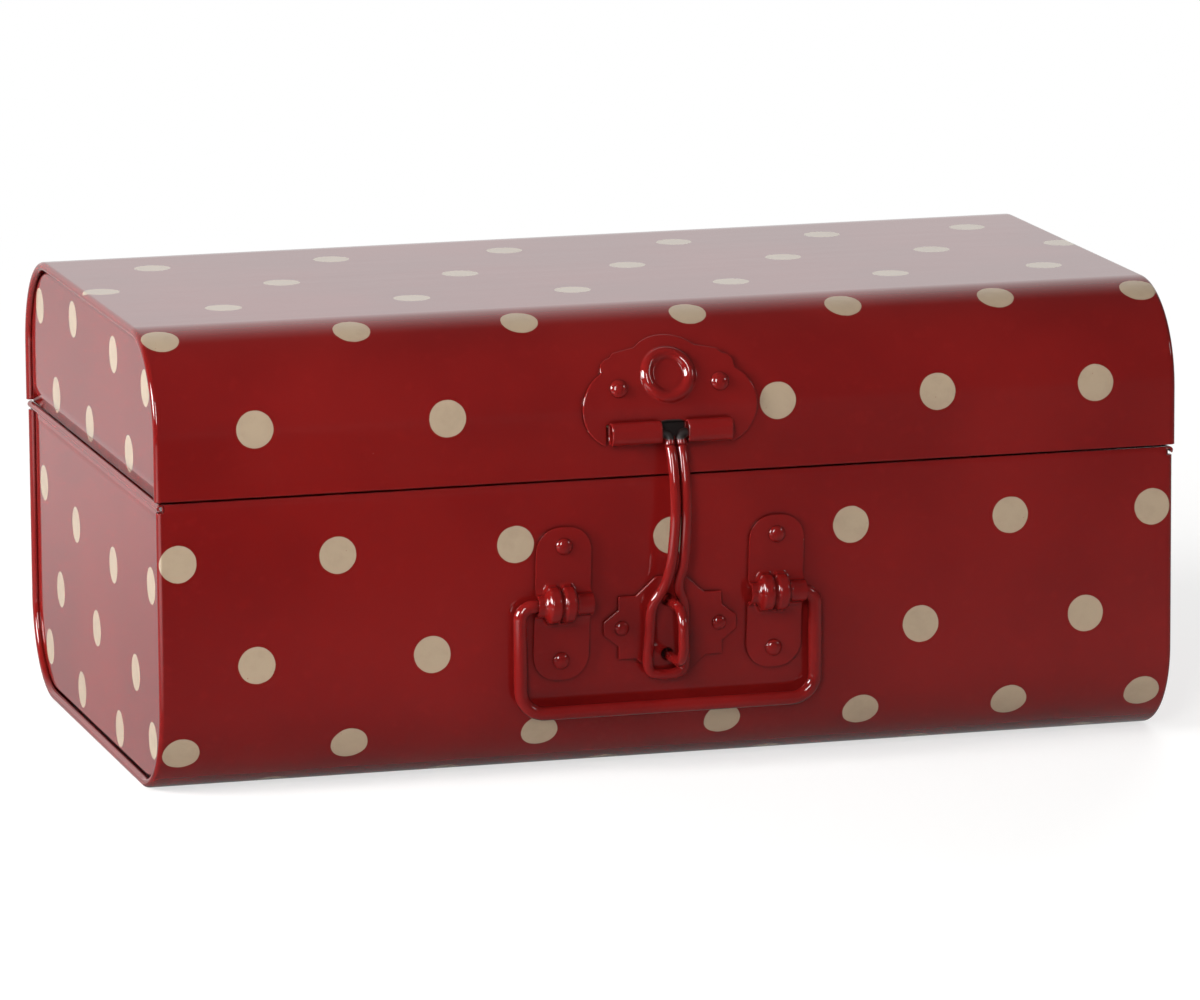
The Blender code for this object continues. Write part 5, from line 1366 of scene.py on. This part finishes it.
# %% Staple
STAPLE_REACH, STAPLE_BEND, STAPLE_TAIL = 0.0172, 0.0056, 0.0014
upper, lower = (Vector((STAPLE_X, CASE_FRONT, STAPLE_HEIGHT + way * STAPLE_SPACING / 2)) for way in (1, -1))
tail, reach = Vector((0, SHEET + STAPLE_TAIL, 0)), Vector((0, -STAPLE_REACH, 0))
staple_path = rounded_path([upper + tail, upper + reach, lower + reach, lower + tail], [STAPLE_BEND] * 2)
finish_piece(
    wire_mesh("staple_wire", staple_path, STAPLE_WIRE), PLAIN_ENAMEL, "case", ["staple"],
)

# %% Bail
BAIL_WIRE, BAIL_WIDTH, BAIL_DROP, BAIL_SHIFT = 0.0039, 0.0842, 0.0300, -0.0009
BAIL_TOP_BEND, BAIL_LOWER_BEND, BAIL_END_RECESS = 0.0036, 0.0068, 0.0008
handle_axis = Vector((BRACKET_CENTRE, CASE_FRONT - AXIS_STAND, HANDLE_HEIGHT))
end = (BRACKET_SPACING - BRACKET_WIDTH) / 2 + BAIL_END_RECESS
corners = []
for way in (-1, 1):
    inner = handle_axis + Vector((way * end, 0, 0))
    elbow = handle_axis + Vector((BAIL_SHIFT + way * BAIL_WIDTH / 2, 0, 0))
    foot = elbow - Vector((0, 0, BAIL_DROP))
    corners += [inner, elbow, foot] if way < 0 else [foot, elbow, inner]
bail_path = rounded_path(corners, [BAIL_TOP_BEND, BAIL_LOWER_BEND, BAIL_LOWER_BEND, BAIL_TOP_BEND])
finish_piece(
    wire_mesh("bail_wire", bail_path, BAIL_WIRE), PLAIN_ENAMEL, "handle", ["handle_bail"],
)

# %% [markdown]
# ## Rivets and hinge pins
# Sixteen rivets hold the plates: a dome outside, a shank, and a tail that is hammered flat inside. They are
# all the same form in a few sizes, so Geometry Nodes places them. One point stands for each rivet and keeps
# its direction and the radius of its head, and the node tree puts a dome, a shank and a tail there. A dome is
# a ball whose lower half is pressed flat, which keeps it closed. The hinge pins are turned: a profile swept
# round an axis.

# %% Rivet tree
DOME_SEGMENTS, DOME_RINGS, SHANK_SIDES, TAIL_SIDES = 32, 20, 20, 24
RIVET_SIZES = {
    "Seat": PLATE_STAND, "Dome share": 0.55, "Shank radius": 0.0011, "Tail radius": 0.0017,
    "Tail height": 0.0007, "Inside": SHEET,
}


def rivet_tree():
    """A node group that stands a rivet on every point, along its outward direction."""
    tree = bpy.data.node_groups.new("rivets", "GeometryNodeTree")
    tree.interface.new_socket("Geometry", in_out="INPUT", socket_type="NodeSocketGeometry")
    tree.interface.new_socket("Geometry", in_out="OUTPUT", socket_type="NodeSocketGeometry")
    for name in RIVET_SIZES:
        tree.interface.new_socket(name, in_out="INPUT", socket_type="NodeSocketFloat")
    tree.interface.new_socket("Paint", in_out="INPUT", socket_type="NodeSocketMaterial")
    given = node(tree, "NodeGroupInput").outputs
    head = node(tree, "GeometryNodeInputNamedAttribute", {"data_type": "FLOAT"}, {"Name": "head"})
    outward = node(tree, "GeometryNodeInputNamedAttribute", {"data_type": "FLOAT_VECTOR"}, {
        "Name": "outward",
    })
    turn = node(tree, "FunctionNodeAlignRotationToVector", {"axis": "Z"}, {"Vector": outward})

    ball = node(tree, "GeometryNodeMeshUVSphere", inputs={
        "Segments": DOME_SEGMENTS, "Rings": DOME_RINGS, "Radius": 1.0,
    })
    spot = node(tree, "ShaderNodeSeparateXYZ", inputs={0: node(tree, "GeometryNodeInputPosition")}).outputs
    upper = node(tree, "ShaderNodeMath", MAXIMUM, {0: spot["Z"], 1: 0.0})
    pressed = node(tree, "ShaderNodeCombineXYZ", inputs={"X": spot["X"], "Y": spot["Y"], "Z": upper})
    dome = node(tree, "GeometryNodeSetPosition", inputs={"Geometry": ball, "Position": pressed})
    rise = node(tree, "ShaderNodeMath", MULTIPLY, {0: head, 1: given["Dome share"]})
    width = node(tree, "ShaderNodeCombineXYZ", inputs={"X": head, "Y": head, "Z": rise})
    out = node(tree, "ShaderNodeVectorMath", SCALE, {"Vector": outward, "Scale": given["Seat"]})
    seats = node(tree, "GeometryNodeSetPosition", inputs={"Geometry": given["Geometry"], "Offset": out})
    domes = node(tree, "GeometryNodeInstanceOnPoints", inputs={
        "Points": seats, "Instance": dome, "Rotation": turn, "Scale": width,
    })

    length = node(tree, "ShaderNodeMath", ADD, {0: given["Seat"], 1: given["Inside"]})
    shank = node(tree, "GeometryNodeMeshCylinder", inputs={
        "Vertices": SHANK_SIDES, "Radius": given["Shank radius"], "Depth": length,
    })
    middle = node(tree, "ShaderNodeMath", SUBTRACT, {0: given["Seat"], 1: given["Inside"]})
    middle = node(tree, "ShaderNodeMath", MULTIPLY, {0: middle, 1: 0.5})
    middle = node(tree, "ShaderNodeCombineXYZ", inputs={"Z": middle})
    shank = node(tree, "GeometryNodeTransform", inputs={"Geometry": shank, "Translation": middle})
    tail = node(tree, "GeometryNodeMeshCylinder", inputs={
        "Vertices": TAIL_SIDES, "Radius": given["Tail radius"], "Depth": given["Tail height"],
    })
    below = node(tree, "ShaderNodeMath", MULTIPLY_ADD, {0: given["Tail height"], 1: 0.5, 2: given["Inside"]})
    below = node(tree, "ShaderNodeMath", MULTIPLY, {0: below, 1: -1.0})
    below = node(tree, "ShaderNodeCombineXYZ", inputs={"Z": below})
    tail = node(tree, "GeometryNodeTransform", inputs={"Geometry": tail, "Translation": below})
    stem = node(tree, "GeometryNodeJoinGeometry", inputs={"Geometry": [shank, tail]})
    stems = node(tree, "GeometryNodeInstanceOnPoints", inputs={
        "Points": given["Geometry"], "Instance": stem, "Rotation": turn,
    })

    both = node(tree, "GeometryNodeJoinGeometry", inputs={"Geometry": [domes, stems]})
    real = node(tree, "GeometryNodeRealizeInstances", inputs={"Geometry": both})
    smooth = node(tree, "GeometryNodeSetShadeSmooth", inputs={"Geometry": real})
    painted = node(tree, "GeometryNodeSetMaterial", inputs={"Geometry": smooth, "Material": given["Paint"]})
    node(tree, "NodeGroupOutput", inputs={"Geometry": painted})
    return tree


# %% Setting the rivets
RIVETS = rivet_tree()


def riveted(name, rows, body):
    """One mesh with a rivet for each row: a point on a wall, the outward direction, the head's radius and the
    CAD node that the rivet replaces."""
    mesh = bpy.data.meshes.new(name)
    mesh.from_pydata([tuple(row[0]) for row in rows], [], [])
    outward = np.array([tuple(row[1]) for row in rows], np.float32)
    mesh.attributes.new("outward", "FLOAT_VECTOR", "POINT").data.foreach_set("vector", outward.ravel())
    heads = np.array([row[2] for row in rows], np.float32)
    mesh.attributes.new("head", "FLOAT", "POINT").data.foreach_set("value", heads)
    piece = bpy.data.objects.new(name, mesh)
    step = piece.modifiers.new("rivets", "NODES")
    step.node_group = RIVETS
    values = {**RIVET_SIZES, "Paint": PLAIN_ENAMEL}
    for socket in RIVETS.interface.items_tree:
        if socket.in_out == "INPUT" and socket.name in values:
            step[socket.identifier] = values[socket.name]
    bpy.context.scene.collection.objects.link(piece)
    plain = worked_out(piece, name)
    bpy.data.objects.remove(piece)
    print(f"{name}: {len(rows)} rivets, {len(plain.polygons)} faces")
    return finish_piece(plain, PLAIN_ENAMEL, body, [row[3] for row in rows])


# %% Rivet places
OUT_FRONT, OUT_BACK = Vector((0, -1, 0)), Vector((0, 1, 0))
HASP_HEAD, STAPLE_HEAD, BRACKET_HEAD, HINGE_HEAD = 0.0026, 0.0021, 0.0024, 0.0020
case_rivets, lid_rivets = [], []
for word, way in (("left", -1), ("right", 1)):
    rise = BARREL_HEIGHT + HASP_RIVET_RISE + way * HASP_RIVET_OFFSET
    angle = max(0.0, rise - LID_FLAT_TOP) / LID_CORNER
    outward = Vector((0, -cos(angle), sin(angle)))
    bend_centre = Vector((CLASP_CENTRE + way * HASP_RIVET_X, LID_FRONT + LID_CORNER, LID_FLAT_TOP))
    lid_rivets.append((bend_centre + outward * LID_CORNER, outward, HASP_HEAD, f"hasp_plate_rivet_{word}"))
    place = Vector((STAPLE_PLATE_X + way * STAPLE_RIVET_X, CASE_FRONT, STAPLE_PLATE_HEIGHT))
    case_rivets.append((place, OUT_FRONT, STAPLE_HEAD, f"staple_plate_rivet_{word}"))
    for level, up in (("upper", 1), ("lower", -1)):
        rise = up * BRACKET_RIVET_OFFSET
        x = BRACKET_CENTRE + way * BRACKET_SPACING / 2 + rise * BRACKET_LEAN
        place = Vector((x, CASE_FRONT, HANDLE_HEIGHT + rise))
        case_rivets.append((place, OUT_FRONT, BRACKET_HEAD, f"{word}_bracket_rivet_{level}"))
    for end, end_way in (("left", -1), ("right", 1)):
        x = way * HINGE_SPACING / 2 + end_way * HINGE_RIVET_X
        place = Vector((x, CASE_BACK, SEAM_HEIGHT - HINGE_RIVET_RISE))
        case_rivets.append((place, OUT_BACK, HINGE_HEAD, f"{word}_hinge_case_rivet_{end}"))
        place = Vector((x, CASE_BACK, SEAM_HEIGHT + HINGE_RIVET_RISE))
        lid_rivets.append((place, OUT_BACK, HINGE_HEAD, f"{word}_hinge_lid_rivet_{end}"))
riveted("case_rivets", case_rivets, "case")
riveted("lid_rivets", lid_rivets, "lid")

# %% Hinge pins
PIN_HEAD, PIN_SIDES = 0.0006, 32
# The head's round edge, from its middle outwards: shares of its height and of its radius.
PIN_SHARES = ((1.0, 0.0), (1.0, 0.6), (0.8, 0.9), (0.4, 1.0), (0.0, 1.0))


def turned(name, profile, centre):
    """A closed solid turned about the X axis, from a profile of x and radius whose ends lie on the axis."""
    turns = np.linspace(0, 2 * pi, PIN_SIDES + 1)[:-1]
    points = [(centre[0] + profile[0][0], centre[1], centre[2])]
    for x, radius in profile[1:-1]:
        points += [(centre[0] + x, centre[1] + radius * cos(a), centre[2] + radius * sin(a)) for a in turns]
    points.append((centre[0] + profile[-1][0], centre[1], centre[2]))
    faces = []
    for i in range(PIN_SIDES):
        j = (i + 1) % PIN_SIDES
        faces.append((0, 1 + i, 1 + j))
        for ring in range(len(profile) - 3):
            a = 1 + ring * PIN_SIDES
            b = a + PIN_SIDES
            faces.append((a + i, b + i, b + j, a + j))
        last = 1 + (len(profile) - 3) * PIN_SIDES
        faces.append((last + j, last + i, len(points) - 1))
    return new_mesh(name, points, faces)


reach, head, shank = HINGE_WIDTH / 2 + CLEARANCE, HINGE_RADIUS - CLEARANCE, HINGE_PIN / 2
pin_end = [(reach + rise * PIN_HEAD, share * head) for rise, share in PIN_SHARES] + [(reach, shank)]
pin_profile = [(-x, r) for x, r in pin_end] + pin_end[::-1]
for word, side in (("left", -1), ("right", 1)):
    finish_piece(
        turned(f"{word}_pin", pin_profile, (side * HINGE_SPACING / 2, HINGE_AXIS_Y, SEAM_HEIGHT)),
        PLAIN_ENAMEL, "case", [f"{word}_hinge_pin"],
    )
